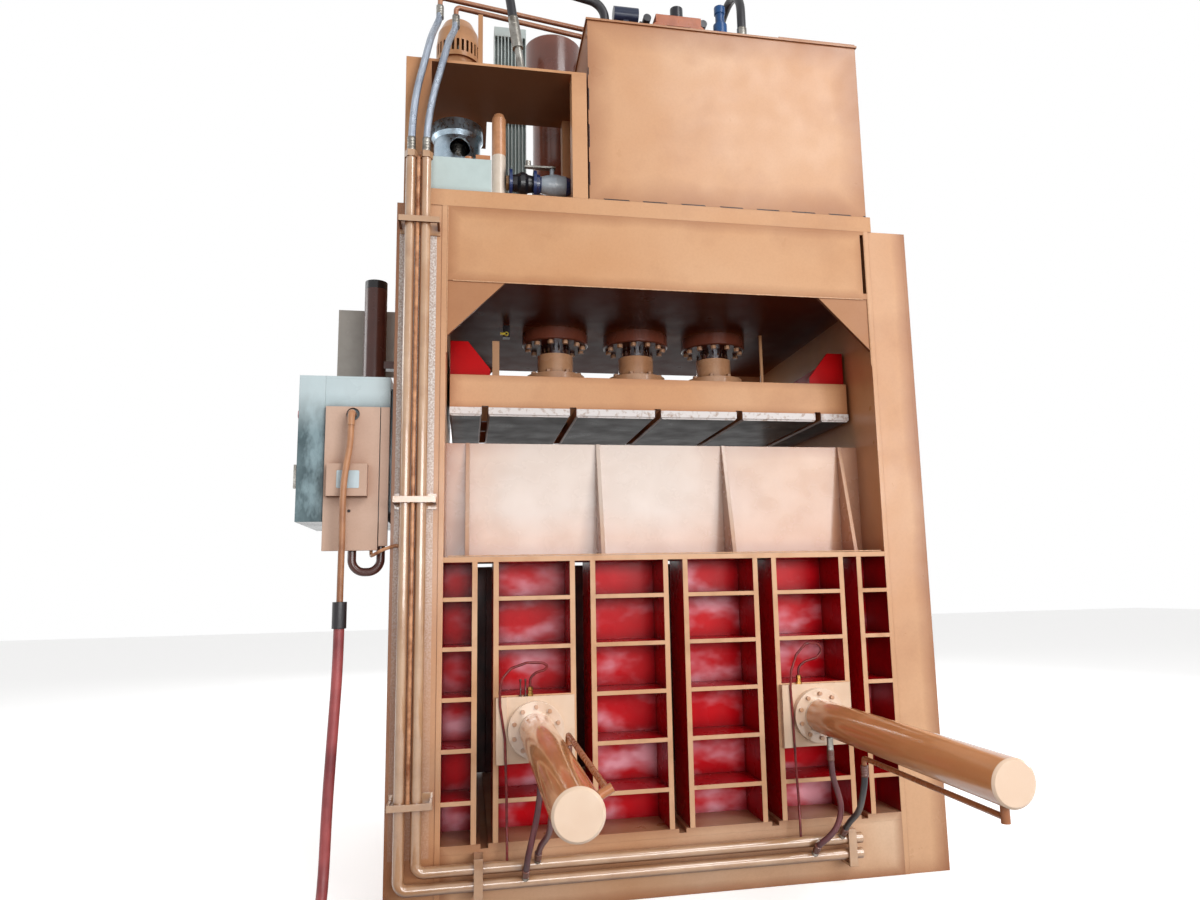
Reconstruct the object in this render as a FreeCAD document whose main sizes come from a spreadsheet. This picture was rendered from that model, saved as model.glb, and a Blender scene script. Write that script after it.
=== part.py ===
"""Recycling baler: three vertical rams press a slotted platen between two side frames.

Millimetres. +Z is up and the floor is Z = 0. X = 0 is midway between the side frames and
Y = 0 is the plane of the three rams. The lattice wall with the two ejectors faces -Y.
"""
import FreeCAD, Part
import math
import os

import Sketcher

Vector = FreeCAD.Vector

SIZES = {
    # press frame
    "half_width": 1375.0,
    "inner_half": 1130.0,
    "frame_depth": 1750.0,
    "column_height": 3365.0,
    "side_plate": 25.0,
    "outer_plate": 20.0,
    "face_plate": 25.0,
    "face_recess": 3.0,
    "cap_plate": 20.0,
    "beam_bottom": 2972.0,
    "beam_plate": 33.0,
    "beam_top_plate": 20.0,
    "beam_web": 25.0,
    "beam_gap": 25.0,
    "beam_rib": 20.0,
    "corner_size": 290.0,
    "corner_plate": 20.0,
    "corner_step": 4.0,
    "bed_top": 297.0,
    "bed_plate": 37.0,
    "bed_web": 25.0,
    "bed_rib": 25.0,
    "channel_width": 35.0,
    "channel_depth": 20.0,
    "module": 466.0,
    # lattice wall and the panel over it
    "lattice_top": 1597.0,
    "lattice_depth": 275.0,
    "lattice_flange": 25.0,
    "liner": 25.0,
    "bar_plate": 25.0,
    "slot_width": 75.0,
    "first_shelf": 488.0,
    "shelf_pitch": 230.0,
    "shelf": 20.0,
    "shelf_rows": 5.0,
    "wall_top": 2190.0,
    "stiffener": 20.0,
    "stiffener_depth": 150.0,
    "stiffener_tip": 12.0,
    "stiffener_inner": 345.0,
    "stiffener_outer": 1020.0,
    # bale door
    "door_left": 1120.0,
    "door_right": 1100.0,
    "door_bottom": 305.0,
    "door_top": 1590.0,
    "door_depth": 250.0,
    "door_skin": 20.0,
    "door_rib": 20.0,
    "channel_back": 10.0,
    "door_shelf_pitch": 310.0,
    "hinge_x": 1165.0,
    "hinge_set": 40.0,
    "hinge_pin": 16.0,
    "knuckle": 30.0,
    "knuckle_length": 90.0,
    "hinge_low": 375.0,
    "hinge_high": 1520.0,
    "strap_length": 360.0,
    "strap_height": 70.0,
    "strap_plate": 20.0,
    "lock_x": 1190.0,
    "lock_z": 950.0,
    "lock_reach": 230.0,
    "lock_half_width": 32.0,
    "lock_plate": 20.0,
    "lock_seat": 12.0,
    "lock_pin": 14.0,
    # main rams
    "ram_pitch": 500.0,
    "rod_radius": 90.0,
    "barrel_radius": 130.0,
    "barrel_bore": 112.0,
    "ring_radius": 200.0,
    "ring_height": 75.0,
    "gland_height": 88.0,
    "head_radius": 179.0,
    "head_height": 260.0,
    "port_drop": 60.0,
    "port_stub": 40.0,
    "head_top": 4880.0,
    "head_chamfer": 14.0,
    "head_plug": 20.0,
    "piston_height": 120.0,
    "piston_top_gap": 10.0,
    "running_gap": 0.3,
    "ring_bolts": 12.0,
    "ring_bolt_circle": 168.0,
    "ring_bolt_radius": 17.0,
    "ring_bolt_height": 22.0,
    "flange_radius": 178.0,
    "flange_height": 65.0,
    "collar_radius": 108.0,
    "collar_height": 130.0,
    "flange_bolts": 8.0,
    "flange_bolt_circle": 146.0,
    "flange_bolt_radius": 16.0,
    "flange_bolt_height": 20.0,
    # platen
    "platen_half": 1115.0,
    "platen_front": 300.0,
    "platen_depth": 1150.0,
    "platen_bottom": 2345.0,
    "platen_height": 222.0,
    "segment": 55.0,
    "platen_slot": 35.0,
    "platen_lip": 8.0,
    "platen_lip_height": 46.0,
    "platen_plate": 25.0,
    "platen_rib": 25.0,
    "saddle_half": 750.0,
    "saddle_front": 650.0,
    "saddle_depth": 450.0,
    "saddle_height": 73.0,
    "guide_plate": 20.0,
    "guide_width": 209.0,
    "guide_height": 190.0,
    "guide_lip": 41.0,
    "guide_shoulder": 92.0,
    "guide_set_back": 30.0,
    "post_x": 863.0,
    "post_width": 40.0,
    "post_plate": 12.0,
    "post_top": 2880.0,
    "switch_height": 72.0,
    "switch_width": 40.0,
    "switch_depth": 44.0,
    "switch_lever": 12.0,
    "stroke_rod_x": 765.0,
    "stroke_rod_radius": 10.0,
    "stroke_rod_top": 4470.0,
    "stroke_rod_hole": 13.0,
    "rod_line": 150.0,
    # ejectors
    "ejector_x": 699.0,
    "ejector_z": 793.0,
    "mount_width": 367.0,
    "mount_height": 300.0,
    "mount_plate": 25.0,
    "mount_strip": 50.0,
    "mount_strip_plate": 14.0,
    "ejector_flange": 130.0,
    "ejector_flange_height": 40.0,
    "ejector_bolts": 10.0,
    "ejector_bolt_circle": 106.0,
    "ejector_bolt_radius": 10.0,
    "ejector_bolt_height": 14.0,
    "ejector_barrel": 80.0,
    "ejector_bore": 65.0,
    "ejector_rod": 45.0,
    "ejector_rod_hole": 50.0,
    "ejector_length": 1588.0,
    "ejector_cap": 28.0,
    "ejector_cap_chamfer": 8.0,
    "ejector_gland": 160.0,
    "ejector_piston": 70.0,
    "pad_width": 370.0,
    "pad_bottom": 305.0,
    "pad_top": 930.0,
    "pad_plate": 20.0,
    "pad_gap": 2.0,
    # pipework
    "riser_radius": 25.0,
    "riser_outer_x": 1306.0,
    "riser_inner_x": 1233.0,
    "pipe_stand_off": 75.0,
    "riser_rise": 202.0,
    "lower_pipe_z": 146.0,
    "upper_pipe_z": 215.0,
    "pipe_end": 871.0,
    "elbow_sweep": 42.0,
    "union_radius": 32.0,
    "union_length": 34.0,
    "conduit_radius": 9.0,
    "clamp_bar": 12.0,
    "clamp_height": 40.0,
    "clamp_rise": 30.0,
    "clamp_base": 76.0,
    "clamp_thin": 6.0,
    "clamp_drop": 128.0,
    "clamp_middle": 1863.0,
    "clamp_low": 500.0,
    "clamp_left": 1359.0,
    "clamp_right": 1164.0,
    # power unit
    "unit_left": 1217.0,
    "unit_right": 1175.0,
    "unit_depth": 700.0,
    "unit_height": 82.0,
    "unit_wall": 8.0,
    "unit_floor": 5.0,
    "tank_left": 404.0,
    "tank_right": 1150.0,
    "tank_height": 1026.0,
    "tank_lid": 12.0,
    "tank_lip": 8.0,
    "cover_left": 690.0,
    "deck_left": 1345.0,
    "deck_depth": 850.0,
    "deck_rise": 785.0,
    "link_set": 299.0,
    "deck_plate": 15.0,
    "deck_short": 540.0,
    "deck_inner": 925.0,
    "link_post": 26.0,
    "link_post_x": 967.0,
    "link_post_top": 4652.0,
    "deck_post": 80.0,
    "deck_post_plate": 8.0,
    "motor_x": 1095.0,
    "motor_y": 215.0,
    "motor_radius": 112.0,
    "motor_length": 415.0,
    "cowl_radius": 128.0,
    "cowl_band": 95.0,
    "cowl_wall": 6.0,
    "cowl_rise": 180.0,
    "cowl_slots": 28.0,
    "cowl_slot": 14.0,
    "handle_z": 2030.0,
    "motor_bore": 21.0,
    "shaft_radius": 20.0,
    "coupling_radius": 60.0,
    "coupling_height": 110.0,
    "fan_radius": 108.0,
    "fan_blades": 8.0,
    "bell_radius": 150.0,
    "bell_wall": 12.0,
    "bell_drop": 400.0,
    "bell_window": 58.0,
    "pump_radius": 95.0,
    "pump_height": 260.0,
    "cooler_left": 883.0,
    "cooler_right": 693.0,
    "cooler_front": 575.0,
    "cooler_fin": 6.0,
    "cooler_fins": 10.0,
    "cooler_fin_depth": 35.0,
    "cooler_core": 70.0,
    "cooler_tank": 60.0,
    "cooler_height": 1342.0,
    "cooler_motor": 62.0,
    "box_left": 1216.0,
    "box_right": 911.0,
    "box_front": 30.0,
    "box_depth": 160.0,
    "box_height": 191.0,
    "filter_x": 865.0,
    "filter_radius": 38.0,
    "filter_top": 4035.0,
    "line_y": 250.0,
    "suction_z": 3634.0,
    "suction_radius": 45.0,
    "joint_radius": 62.0,
    "joint_flange": 75.0,
    "joint_left": 810.0,
    "joint_right": 663.0,
    "valve_radius": 55.0,
    "lever_x": 575.0,
    "lever_length": 150.0,
    "manifold_left": 90.0,
    "manifold_right": 350.0,
    "manifold_front": 200.0,
    "manifold_depth": 200.0,
    "manifold_height": 130.0,
    "valve_block": 60.0,
    "casting_left": -45.0,
    "casting_right": 285.0,
    "casting_front": 45.0,
    "casting_depth": 90.0,
    "casting_height": 105.0,
    "casting_foot": 70.0,
    "canister_left": -232.0,
    "canister_length": 140.0,
    "canister_radius": 44.0,
    "canister_shift": 150.0,
    "canister_rise": 150.0,
    "return_stub": 22.0,
    "over_stub": 60.0,
    "needle_x": 395.0,
    "link_radius": 14.0,
    # control side
    "cabinet_left": 1815.0,
    "cabinet_right": 1392.0,
    "cabinet_bottom": 1774.0,
    "cabinet_top": 2481.0,
    "cabinet_front": 60.0,
    "cabinet_depth": 620.0,
    "cabinet_wall": 12.0,
    "cabinet_door": 120.0,
    "lid_pin": 5.0,
    "lid_eye": 11.0,
    "strip_left": 1433.0,
    "side_box_left": 1688.0,
    "side_box_right": 1437.0,
    "side_box_bottom": 1636.0,
    "side_box_top": 2327.0,
    "side_box_front": 40.0,
    "junction_left": 1670.0,
    "junction_right": 1486.0,
    "junction_bottom": 1889.0,
    "junction_top": 2043.0,
    "junction_depth": 48.0,
    "tube_x": 1508.0,
    "tube_y": 400.0,
    "tube_radius": 58.0,
    "tube_bottom": 2545.0,
    "tube_top": 3062.0,
    "board_left": 1726.0,
    "board_bottom": 2616.0,
    "board_top": 2992.0,
    "lead_diameter": 30.0,
    "conduit_diameter": 48.0,
    "hose_diameter": 28.0,
    "braid_diameter": 36.0,
    "top_hose_diameter": 50.0,
    "loop_diameter": 40.0,
    "wire_diameter": 16.0,
    "coil_radius": 264.0,
    "coil_rise": 57.0,
    "plug_radius": 36.0,
    "plug_length": 165.0,
    "leak_diameter": 12.0,
    "feed_boss": 15.0,
    "leak_fitting": 9.0,
    "feed_diameter": 22.0,
}

doc = FreeCAD.newDocument("RecyclingBaler")
sheet = doc.addObject("Spreadsheet::Sheet", "Dims")


class Size:
    """A length that knows its value and the spreadsheet formula that gives it."""

    def __init__(self, value, text):
        self.value = float(value)
        self.text = text

    def __add__(self, other):
        return Size(self.value + number(other), "(%s + %s)" % (self.text, formula(other)))

    def __radd__(self, other):
        return Size(number(other) + self.value, "(%s + %s)" % (formula(other), self.text))

    def __sub__(self, other):
        return Size(self.value - number(other), "(%s - %s)" % (self.text, formula(other)))

    def __rsub__(self, other):
        return Size(number(other) - self.value, "(%s - %s)" % (formula(other), self.text))

    def __mul__(self, other):
        return Size(self.value * number(other), "(%s * %s)" % (self.text, formula(other)))

    def __rmul__(self, other):
        return Size(number(other) * self.value, "(%s * %s)" % (formula(other), self.text))

    def __truediv__(self, other):
        return Size(self.value / number(other), "(%s / %s)" % (self.text, formula(other)))

    def __neg__(self):
        return Size(-self.value, "(0 - %s)" % self.text)


def number(size):
    return size.value if isinstance(size, Size) else float(size)


def formula(size):
    return size.text if isinstance(size, Size) else "%.6f" % size


class Dims:
    """The driving sizes by name."""


d = Dims()
for row, (alias, length) in enumerate(SIZES.items(), start=1):
    sheet.set("A%d" % row, alias)
    sheet.set("B%d" % row, str(length))
    sheet.setAlias("B%d" % row, alias)
    setattr(d, alias, Size(length, "Dims." + alias))
doc.recompute()

nodes = {}


# ---- helpers -----------------------------------------------------------------------
def node(name, item):
    """Give a finished sub-part the name it is saved under."""
    item.Label = name
    nodes[name] = item
    return item


def bind(item, target, size):
    if isinstance(size, Size):
        item.setExpression(target, size.text)


def place(item, corner, turn=None):
    """Put an item at a corner or centre whose coordinates may be sizes."""
    rotation = turn if turn else FreeCAD.Rotation()
    item.Placement = FreeCAD.Placement(Vector(*[number(c) for c in corner]), rotation)
    for letter, coordinate in zip("xyz", corner):
        bind(item, "Placement.Base." + letter, coordinate)
    return item


TURNS = {
    "+z": FreeCAD.Rotation(),
    "-z": FreeCAD.Rotation(Vector(1, 0, 0), 180),
    "+x": FreeCAD.Rotation(Vector(0, 1, 0), 90),
    "-x": FreeCAD.Rotation(Vector(0, 1, 0), -90),
    "+y": FreeCAD.Rotation(Vector(1, 0, 0), -90),
    "-y": FreeCAD.Rotation(Vector(1, 0, 0), 90),
}


def box(low, high, name="Plate"):
    """A plate or block between two opposite corners."""
    item = doc.addObject("Part::Box", name)
    for side, a, b in zip(("Length", "Width", "Height"), low, high):
        extent = b - a
        setattr(item, side, number(extent))
        bind(item, side, extent)
    return place(item, low)


def rod(base, axis, radius, length, name="Round"):
    """A round bar from its base along an axis given as +x, -y and so on."""
    item = doc.addObject("Part::Cylinder", name)
    item.Radius = number(radius)
    item.Height = number(length)
    bind(item, "Radius", radius)
    bind(item, "Height", length)
    return place(item, base, TURNS[axis])


def hexagon(base, axis, radius, length, name="Hex"):
    """A hexagon bolt head or nut."""
    item = doc.addObject("Part::Prism", name)
    item.Polygon = 6
    item.Circumradius = number(radius)
    item.Height = number(length)
    bind(item, "Circumradius", radius)
    bind(item, "Height", length)
    return place(item, base, TURNS[axis])


def fuse(parts, name="Welded"):
    item = doc.addObject("Part::MultiFuse", name)
    item.Shapes = parts
    item.Refine = True
    return item


def cut(base, tools, name="Cut"):
    for tool in tools:
        item = doc.addObject("Part::Cut", name)
        item.Base = base
        item.Tool = tool
        item.Refine = True
        base = item
    return base


def group(parts, name="Group"):
    item = doc.addObject("Part::Compound", name)
    item.Links = parts
    return item


def sketch(body, plane, loops=(), circles=(), level=0):
    """Closed outlines and circles, every point held by its distance from the origin."""
    item = body.newObject("Sketcher::SketchObject", "Outline")
    base = [f for f in body.Origin.OriginFeatures if f.Role == plane + "_Plane"][0]
    item.AttachmentSupport = [(base, "")]
    item.MapMode = "FlatFace"
    if number(level):
        item.AttachmentOffset = FreeCAD.Placement(Vector(0, 0, number(level)), FreeCAD.Rotation())
        bind(item, "AttachmentOffset.Base.z", level)
    edge = 0
    for loop in loops:
        points = [Vector(number(a), number(b), 0) for a, b in loop]
        count = len(points)
        for i in range(count):
            item.addGeometry(Part.LineSegment(points[i], points[(i + 1) % count]), False)
        for i in range(count):
            item.addConstraint(Sketcher.Constraint("Coincident", edge + i, 2, edge + (i + 1) % count, 1))
        for i, (a, b) in enumerate(loop):
            hold(item, "DistanceX", (-1, 1, edge + i, 1), a)
            hold(item, "DistanceY", (-1, 1, edge + i, 1), b)
        edge += count
    for a, b, radius in circles:
        centre = Vector(number(a), number(b), 0)
        item.addGeometry(Part.Circle(centre, Vector(0, 0, 1), number(radius)), False)
        hold(item, "DistanceX", (-1, 1, edge, 3), a)
        hold(item, "DistanceY", (-1, 1, edge, 3), b)
        hold(item, "Radius", (edge,), radius)
        edge += 1
    return item


def hold(item, kind, where, size):
    index = item.addConstraint(Sketcher.Constraint(kind, *where, number(size)))
    bind(item, "Constraints[%d]" % index, size)


def profile(plane, loops, length, corner=(0, 0, 0), circles=(), name="Profile"):
    """A body padded from an outline. XZ outlines run towards +Y, YZ towards +X, XY towards +Z."""
    body = doc.addObject("PartDesign::Body", name)
    pad = body.newObject("PartDesign::Pad", "Pad")
    pad.Profile = sketch(body, plane, loops, circles)
    pad.Length = number(length)
    bind(pad, "Length", length)
    pad.Reversed = plane == "XZ"
    return place(body, corner)


def pocket(body, plane, loops, depth, circles=(), level=0, backwards=False):
    """Cut outlines into a body, away from the outline's plane."""
    feature = body.newObject("PartDesign::Pocket", "Pocket")
    feature.Profile = sketch(body, plane, loops, circles, level)
    feature.Length = number(depth)
    bind(feature, "Length", depth)
    feature.Reversed = backwards
    return body


def turned(points, centre, axis="+z", name="Turned"):
    """A body turned from a half section given as radius and height."""
    body = doc.addObject("PartDesign::Body", name)
    revolution = body.newObject("PartDesign::Revolution", "Revolution")
    outline = sketch(body, "XZ", [points])
    revolution.Profile = outline
    revolution.ReferenceAxis = (outline, ["V_Axis"])
    revolution.Angle = 360
    return place(body, centre, TURNS[axis])


def rectangle(left, low, right, high):
    return [(left, low), (right, low), (right, high), (left, high)]


def mirrored(points):
    return [(-a, b) for a, b in points]


def circle_points(centre_a, centre_b, radius, count, start=0.0):
    """Evenly spaced places on a circle."""
    places = []
    for i in range(int(number(count))):
        angle = math.radians(start + 360.0 * i / number(count))
        places.append((centre_a + radius * math.cos(angle), centre_b + radius * math.sin(angle)))
    return places


def path(points, bend=None):
    """A wire of straight runs joined by tangent arcs, with its tightest radius."""
    corners = [Vector(*[number(c) for c in point]) for point in points]
    edges = []
    start = corners[0]
    tightest = 1e9
    for i in range(1, len(corners) - 1):
        back = corners[i - 1] - corners[i]
        ahead = corners[i + 1] - corners[i]
        turn = math.pi - back.getAngle(ahead)
        radius = 0.45 * min(back.Length, ahead.Length) / math.tan(turn / 2)
        if bend:
            radius = min(radius, bend)
        back.normalize()
        ahead.normalize()
        entry = corners[i] + back * (radius * math.tan(turn / 2))
        leave = corners[i] + ahead * (radius * math.tan(turn / 2))
        inward = back + ahead
        inward.normalize()
        middle = corners[i] + inward * (radius / math.cos(turn / 2) - radius)
        edges.append(Part.LineSegment(start, entry).toShape())
        edges.append(Part.Arc(entry, middle, leave).toShape())
        start = leave
        tightest = min(tightest, radius)
    edges.append(Part.LineSegment(start, corners[-1]).toShape())
    return Part.Wire(edges), tightest


def tube(name, points, diameter, bend=None):
    """A round cord, hose or bent pipe along a path."""
    wire, tightest = path(points, bend)
    first = Vector(*[number(c) for c in points[0]])
    second = Vector(*[number(c) for c in points[1]])
    radius = number(diameter) / 2
    ring = Part.Wire([Part.makeCircle(radius, first, second - first)])
    item = doc.addObject("Part::Feature", name)
    item.Shape = wire.makePipeShell([ring], True, False)
    share = item.Shape.Volume / (wire.Length * math.pi * radius ** 2)
    print("%s: length %.0f, tightest bend %.0f, volume share %.4f" % (name, wire.Length, tightest, share))
    return item


# ---- planes that several sub-parts share --------------------------------------------
front = -d.frame_depth / 2
back = d.frame_depth / 2
liner_front = front + d.lattice_depth - d.liner
liner_back = front + d.lattice_depth
slot_half = d.slot_width / 2
slots = [d.module * i for i in (-2, -1, 0, 1, 2)]
hinge_y = back + d.hinge_set
head_bottom = d.head_top - d.head_height
riser_top = d.column_height + d.riser_rise
clamp_high = d.column_height - d.clamp_drop
deck_bottom = d.column_height + d.deck_rise
bell_bottom = deck_bottom - d.bell_drop


# ---- side frames --------------------------------------------------------------------
def side_frame(name, side):
    """A deep column welded from plates, open underneath."""
    inner = d.inner_half * side
    outer = d.half_width * side
    inner_face = inner + d.side_plate * side
    outer_face = outer - d.outer_plate * side
    low_x, high_x = (inner, inner_face) if side > 0 else (inner_face, inner)
    wall = box((low_x, front, 0), (high_x, back, d.column_height))
    low_x, high_x = (outer_face, outer) if side > 0 else (outer, outer_face)
    skin_front = front + d.face_recess
    skin_back = back - d.face_recess
    skin = box((low_x, skin_front, 0), (high_x, skin_back, d.column_height))
    low_x, high_x = (inner_face, outer_face) if side > 0 else (outer_face, inner_face)
    face = box((low_x, skin_front, 0), (high_x, skin_front + d.face_plate, d.column_height))
    rear = box((low_x, skin_back - d.face_plate, 0), (high_x, skin_back, d.column_height))
    cap_low = d.column_height - d.cap_plate
    cap = box((low_x, skin_front + d.face_plate, cap_low),
              (high_x, skin_back - d.face_plate, d.column_height))
    node(name, group([wall, skin, face, rear, cap]))


side_frame("side_frame_left", -1)
side_frame("side_frame_right", 1)


# ---- top beam -----------------------------------------------------------------------
def top_beam():
    """Cross beam that holds the three rams, with its corner plates."""
    floor_top = d.beam_bottom + d.beam_plate
    roof = d.column_height - d.beam_top_plate
    rams = [(d.ram_pitch * i, 0, d.barrel_radius) for i in (-1, 0, 1)]
    rods = [(d.stroke_rod_x, -d.rod_line, d.stroke_rod_hole)]
    floor = [rectangle(-d.inner_half, front, d.inner_half, back)]
    bottom = profile("XY", floor, d.beam_plate, (0, 0, d.beam_bottom), rams + rods)
    top = profile("XY", floor, d.beam_top_plate, (0, 0, roof), rams + rods)
    fascia = box((-d.inner_half, front, floor_top), (d.inner_half - d.beam_gap, front + d.beam_web, roof))
    rear = box((-d.inner_half, back - d.beam_web, floor_top), (d.inner_half, back, roof))
    ribs = []
    for share in (-1.44, -0.5, 0.5, 1.44):
        middle = d.ram_pitch * share
        low = (middle - d.beam_rib / 2, front + d.beam_web, floor_top)
        ribs.append(box(low, (middle + d.beam_rib / 2, back - d.beam_web, roof)))
    corners = []
    for side in (-1, 1):
        edge = d.inner_half * side
        triangle = [(edge, d.beam_bottom), (edge - d.corner_size * side, d.beam_bottom),
                    (edge, d.beam_bottom - d.corner_size)]
        corners.append(profile("XZ", [triangle], d.corner_plate, (0, front + d.corner_step, 0)))
        corners.append(profile("XZ", [triangle], d.corner_plate,
                               (0, back - d.corner_step - d.corner_plate, 0)))
    node("top_beam", group([bottom, top, fascia, rear] + ribs + corners))


top_beam()


# ---- bed ----------------------------------------------------------------------------
def bed():
    """Floor of the press chamber, with a strap channel under every slot."""
    bed_low = d.bed_top - d.bed_plate
    half_channel = d.channel_width / 2
    outline = [(-d.inner_half, bed_low), (d.inner_half, bed_low), (d.inner_half, d.bed_top)]
    for centre in reversed(slots):
        outline += [(centre + half_channel, d.bed_top), (centre + half_channel, d.bed_top - d.channel_depth),
                    (centre - half_channel, d.bed_top - d.channel_depth), (centre - half_channel, d.bed_top)]
    outline.append((-d.inner_half, d.bed_top))
    plate = profile("XZ", [outline], d.frame_depth, (0, front, 0))
    webs = [box((-d.inner_half, front, 0), (d.inner_half, front + d.bed_web, bed_low)),
            box((-d.inner_half, back - d.bed_web, 0), (d.inner_half, back, bed_low))]
    for centre in slots:
        low = (centre - d.bed_rib / 2, front + d.bed_web, 0)
        webs.append(box(low, (centre + d.bed_rib / 2, back - d.bed_web, bed_low)))
    node("bed", group([plate] + webs))


bed()


# ---- lattice wall -------------------------------------------------------------------
def lattice_wall():
    """Egg-crate wall of upright bars and shelves, open right through at five strap slots."""
    bar_low = d.bed_top
    bar_high = d.lattice_top - d.lattice_flange
    parts = [box((-d.inner_half, front, bar_high), (d.inner_half, liner_back, d.lattice_top), "Flange")]
    bar_outline = [rectangle(front, bar_low, liner_front, bar_high)]
    cells = []
    left = -d.inner_half
    for centre in slots:
        cells.append((left, centre - slot_half - d.bar_plate))
        for bar_x in (centre - slot_half - d.bar_plate, centre + slot_half):
            parts.append(profile("YZ", bar_outline, d.bar_plate, (bar_x, 0, 0), name="Bar"))
        left = centre + slot_half + d.bar_plate
    cells.append((left, d.inner_half))
    for low_x, high_x in cells:
        for row in range(int(number(d.shelf_rows))):
            top = d.first_shelf + d.shelf_pitch * row
            parts.append(box((low_x, front, top - d.shelf), (high_x, liner_front, top), "Shelf"))
    sheets = [(a if a is cells[0][0] else a - d.bar_plate, b if b is cells[-1][1] else b + d.bar_plate)
              for a, b in cells]
    hole_z = d.ejector_z
    for index, (low_x, high_x) in enumerate(sheets):
        holes = []
        if index == 1:
            holes = [(-d.ejector_x, hole_z, d.ejector_rod_hole)]
        if index == 4:
            holes = [(d.ejector_x, hole_z, d.ejector_rod_hole)]
        outline = [rectangle(low_x, bar_low, high_x, bar_high)]
        parts.append(profile("XZ", outline, d.liner, (0, liner_front, 0), holes, "Liner"))
    node("lattice_wall", group(parts))


lattice_wall()


# ---- upper wall ---------------------------------------------------------------------
def upper_wall():
    """Plain panel over the lattice, held by four tapered stiffeners."""
    panel = box((-d.inner_half, liner_front, d.lattice_top), (d.inner_half, liner_back, d.wall_top))
    outline = [(liner_front, d.lattice_top), (liner_front, d.wall_top),
               (liner_front - d.stiffener_tip, d.wall_top),
               (liner_front - d.stiffener_depth, d.lattice_top + d.stiffener_tip),
               (liner_front - d.stiffener_depth, d.lattice_top)]
    parts = [panel]
    for place_x in (-d.stiffener_outer, -d.stiffener_inner, d.stiffener_inner, d.stiffener_outer):
        parts.append(profile("YZ", [outline], d.stiffener, (place_x - d.stiffener / 2, 0, 0),
                             name="Stiffener"))
    node("upper_wall", group(parts))


upper_wall()


# ---- bale door ----------------------------------------------------------------------
def bale_door():
    """Door on the far side, with a strap channel facing each slot of the wall, on two strap hinges."""
    inner = back - d.door_depth
    skin_outer = inner + d.door_skin
    parts = []
    left = -d.door_left
    panels = []
    for centre in slots:
        panels.append((left, centre - slot_half))
        left = centre + slot_half
    panels.append((left, d.door_right))
    for low_x, high_x in panels:
        parts.append(box((low_x, inner, d.door_bottom), (high_x, skin_outer, d.door_top), "Skin"))
    ribs = [-d.door_left]
    for centre in slots:
        ribs += [centre - slot_half - d.door_rib, centre + slot_half]
    ribs.append(d.door_right - d.door_rib)
    for low_x in ribs:
        outline = [rectangle(skin_outer, d.door_bottom, back - d.door_skin, d.door_top)]
        parts.append(profile("YZ", outline, d.door_rib, (low_x, 0, 0), name="DoorRib"))
    for centre in slots:
        parts.append(box((centre - slot_half, skin_outer, d.door_bottom),
                         (centre + slot_half, skin_outer + d.channel_back, d.door_top), "ChannelBack"))
    for low_z in (d.door_bottom, d.door_top - d.strap_height * 2):
        parts.append(box((-d.door_left, back - d.door_skin, low_z),
                         (d.door_right, back, low_z + d.strap_height * 2), "Rail"))
    middle = d.lock_z - d.strap_height
    parts.append(box((-d.door_left, back - d.door_skin, middle),
                     (d.door_right, back, middle + d.strap_height * 2), "Rail"))
    straps = []
    for centre in (d.hinge_low, d.hinge_high):
        low_z = centre - d.strap_height / 2
        foot = (-d.hinge_x, hinge_y, centre - d.knuckle_length / 2)
        barrel = rod(foot, "+z", d.knuckle, d.knuckle_length)
        strap = box((-d.hinge_x, back, low_z),
                    (-d.hinge_x + d.strap_length, back + d.strap_plate, low_z + d.strap_height))
        bore = rod((-d.hinge_x, hinge_y, centre - d.knuckle_length), "+z", d.hinge_pin + d.running_gap,
                   d.knuckle_length * 2)
        straps.append(cut(fuse([barrel, strap]), [bore]))
    seat_x = d.lock_x - d.lock_reach
    seat = box((seat_x - d.lock_half_width, back, d.lock_z - d.lock_half_width),
               (seat_x + d.lock_half_width, back + d.lock_seat, d.lock_z + d.lock_half_width))
    node("bale_door", group(parts + straps + [seat]))


bale_door()


def door_brackets():
    """Hinge brackets and pins on the left frame, and the lock bar's pivot on the right one."""
    parts = []
    face = back - d.face_recess
    for centre in (d.hinge_low, d.hinge_high):
        for low_z in (centre - d.knuckle_length * 1.5, centre + d.knuckle_length * 0.5):
            low = low_z + d.running_gap if low_z.value > centre.value else low_z
            height = d.knuckle_length - d.running_gap
            eye = rod((-d.hinge_x, hinge_y, low), "+z", d.knuckle, height)
            web = box((-d.hinge_x - d.knuckle, back, low), (-d.hinge_x + d.knuckle, hinge_y, low + height))
            parts.append(fuse([eye, web]))
        pin_low = centre - d.knuckle_length * 0.5
        parts.append(rod((-d.hinge_x, hinge_y, pin_low), "+z", d.hinge_pin, d.knuckle_length))
    plane_y = back + d.lock_seat + d.running_gap
    boss = plane_y - face - d.running_gap
    groove = boss + d.lock_plate + d.running_gap * 2
    head = d.lock_pin * 1.8
    parts.append(turned([(0, 0), (d.lock_half_width, 0), (d.lock_half_width, boss), (d.lock_pin, boss),
                         (d.lock_pin, groove), (head, groove), (head, groove + 8), (0, groove + 8)],
                        (d.lock_x, face, d.lock_z), "+y", "Pivot"))
    node("door_brackets", group(parts))


door_brackets()


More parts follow.
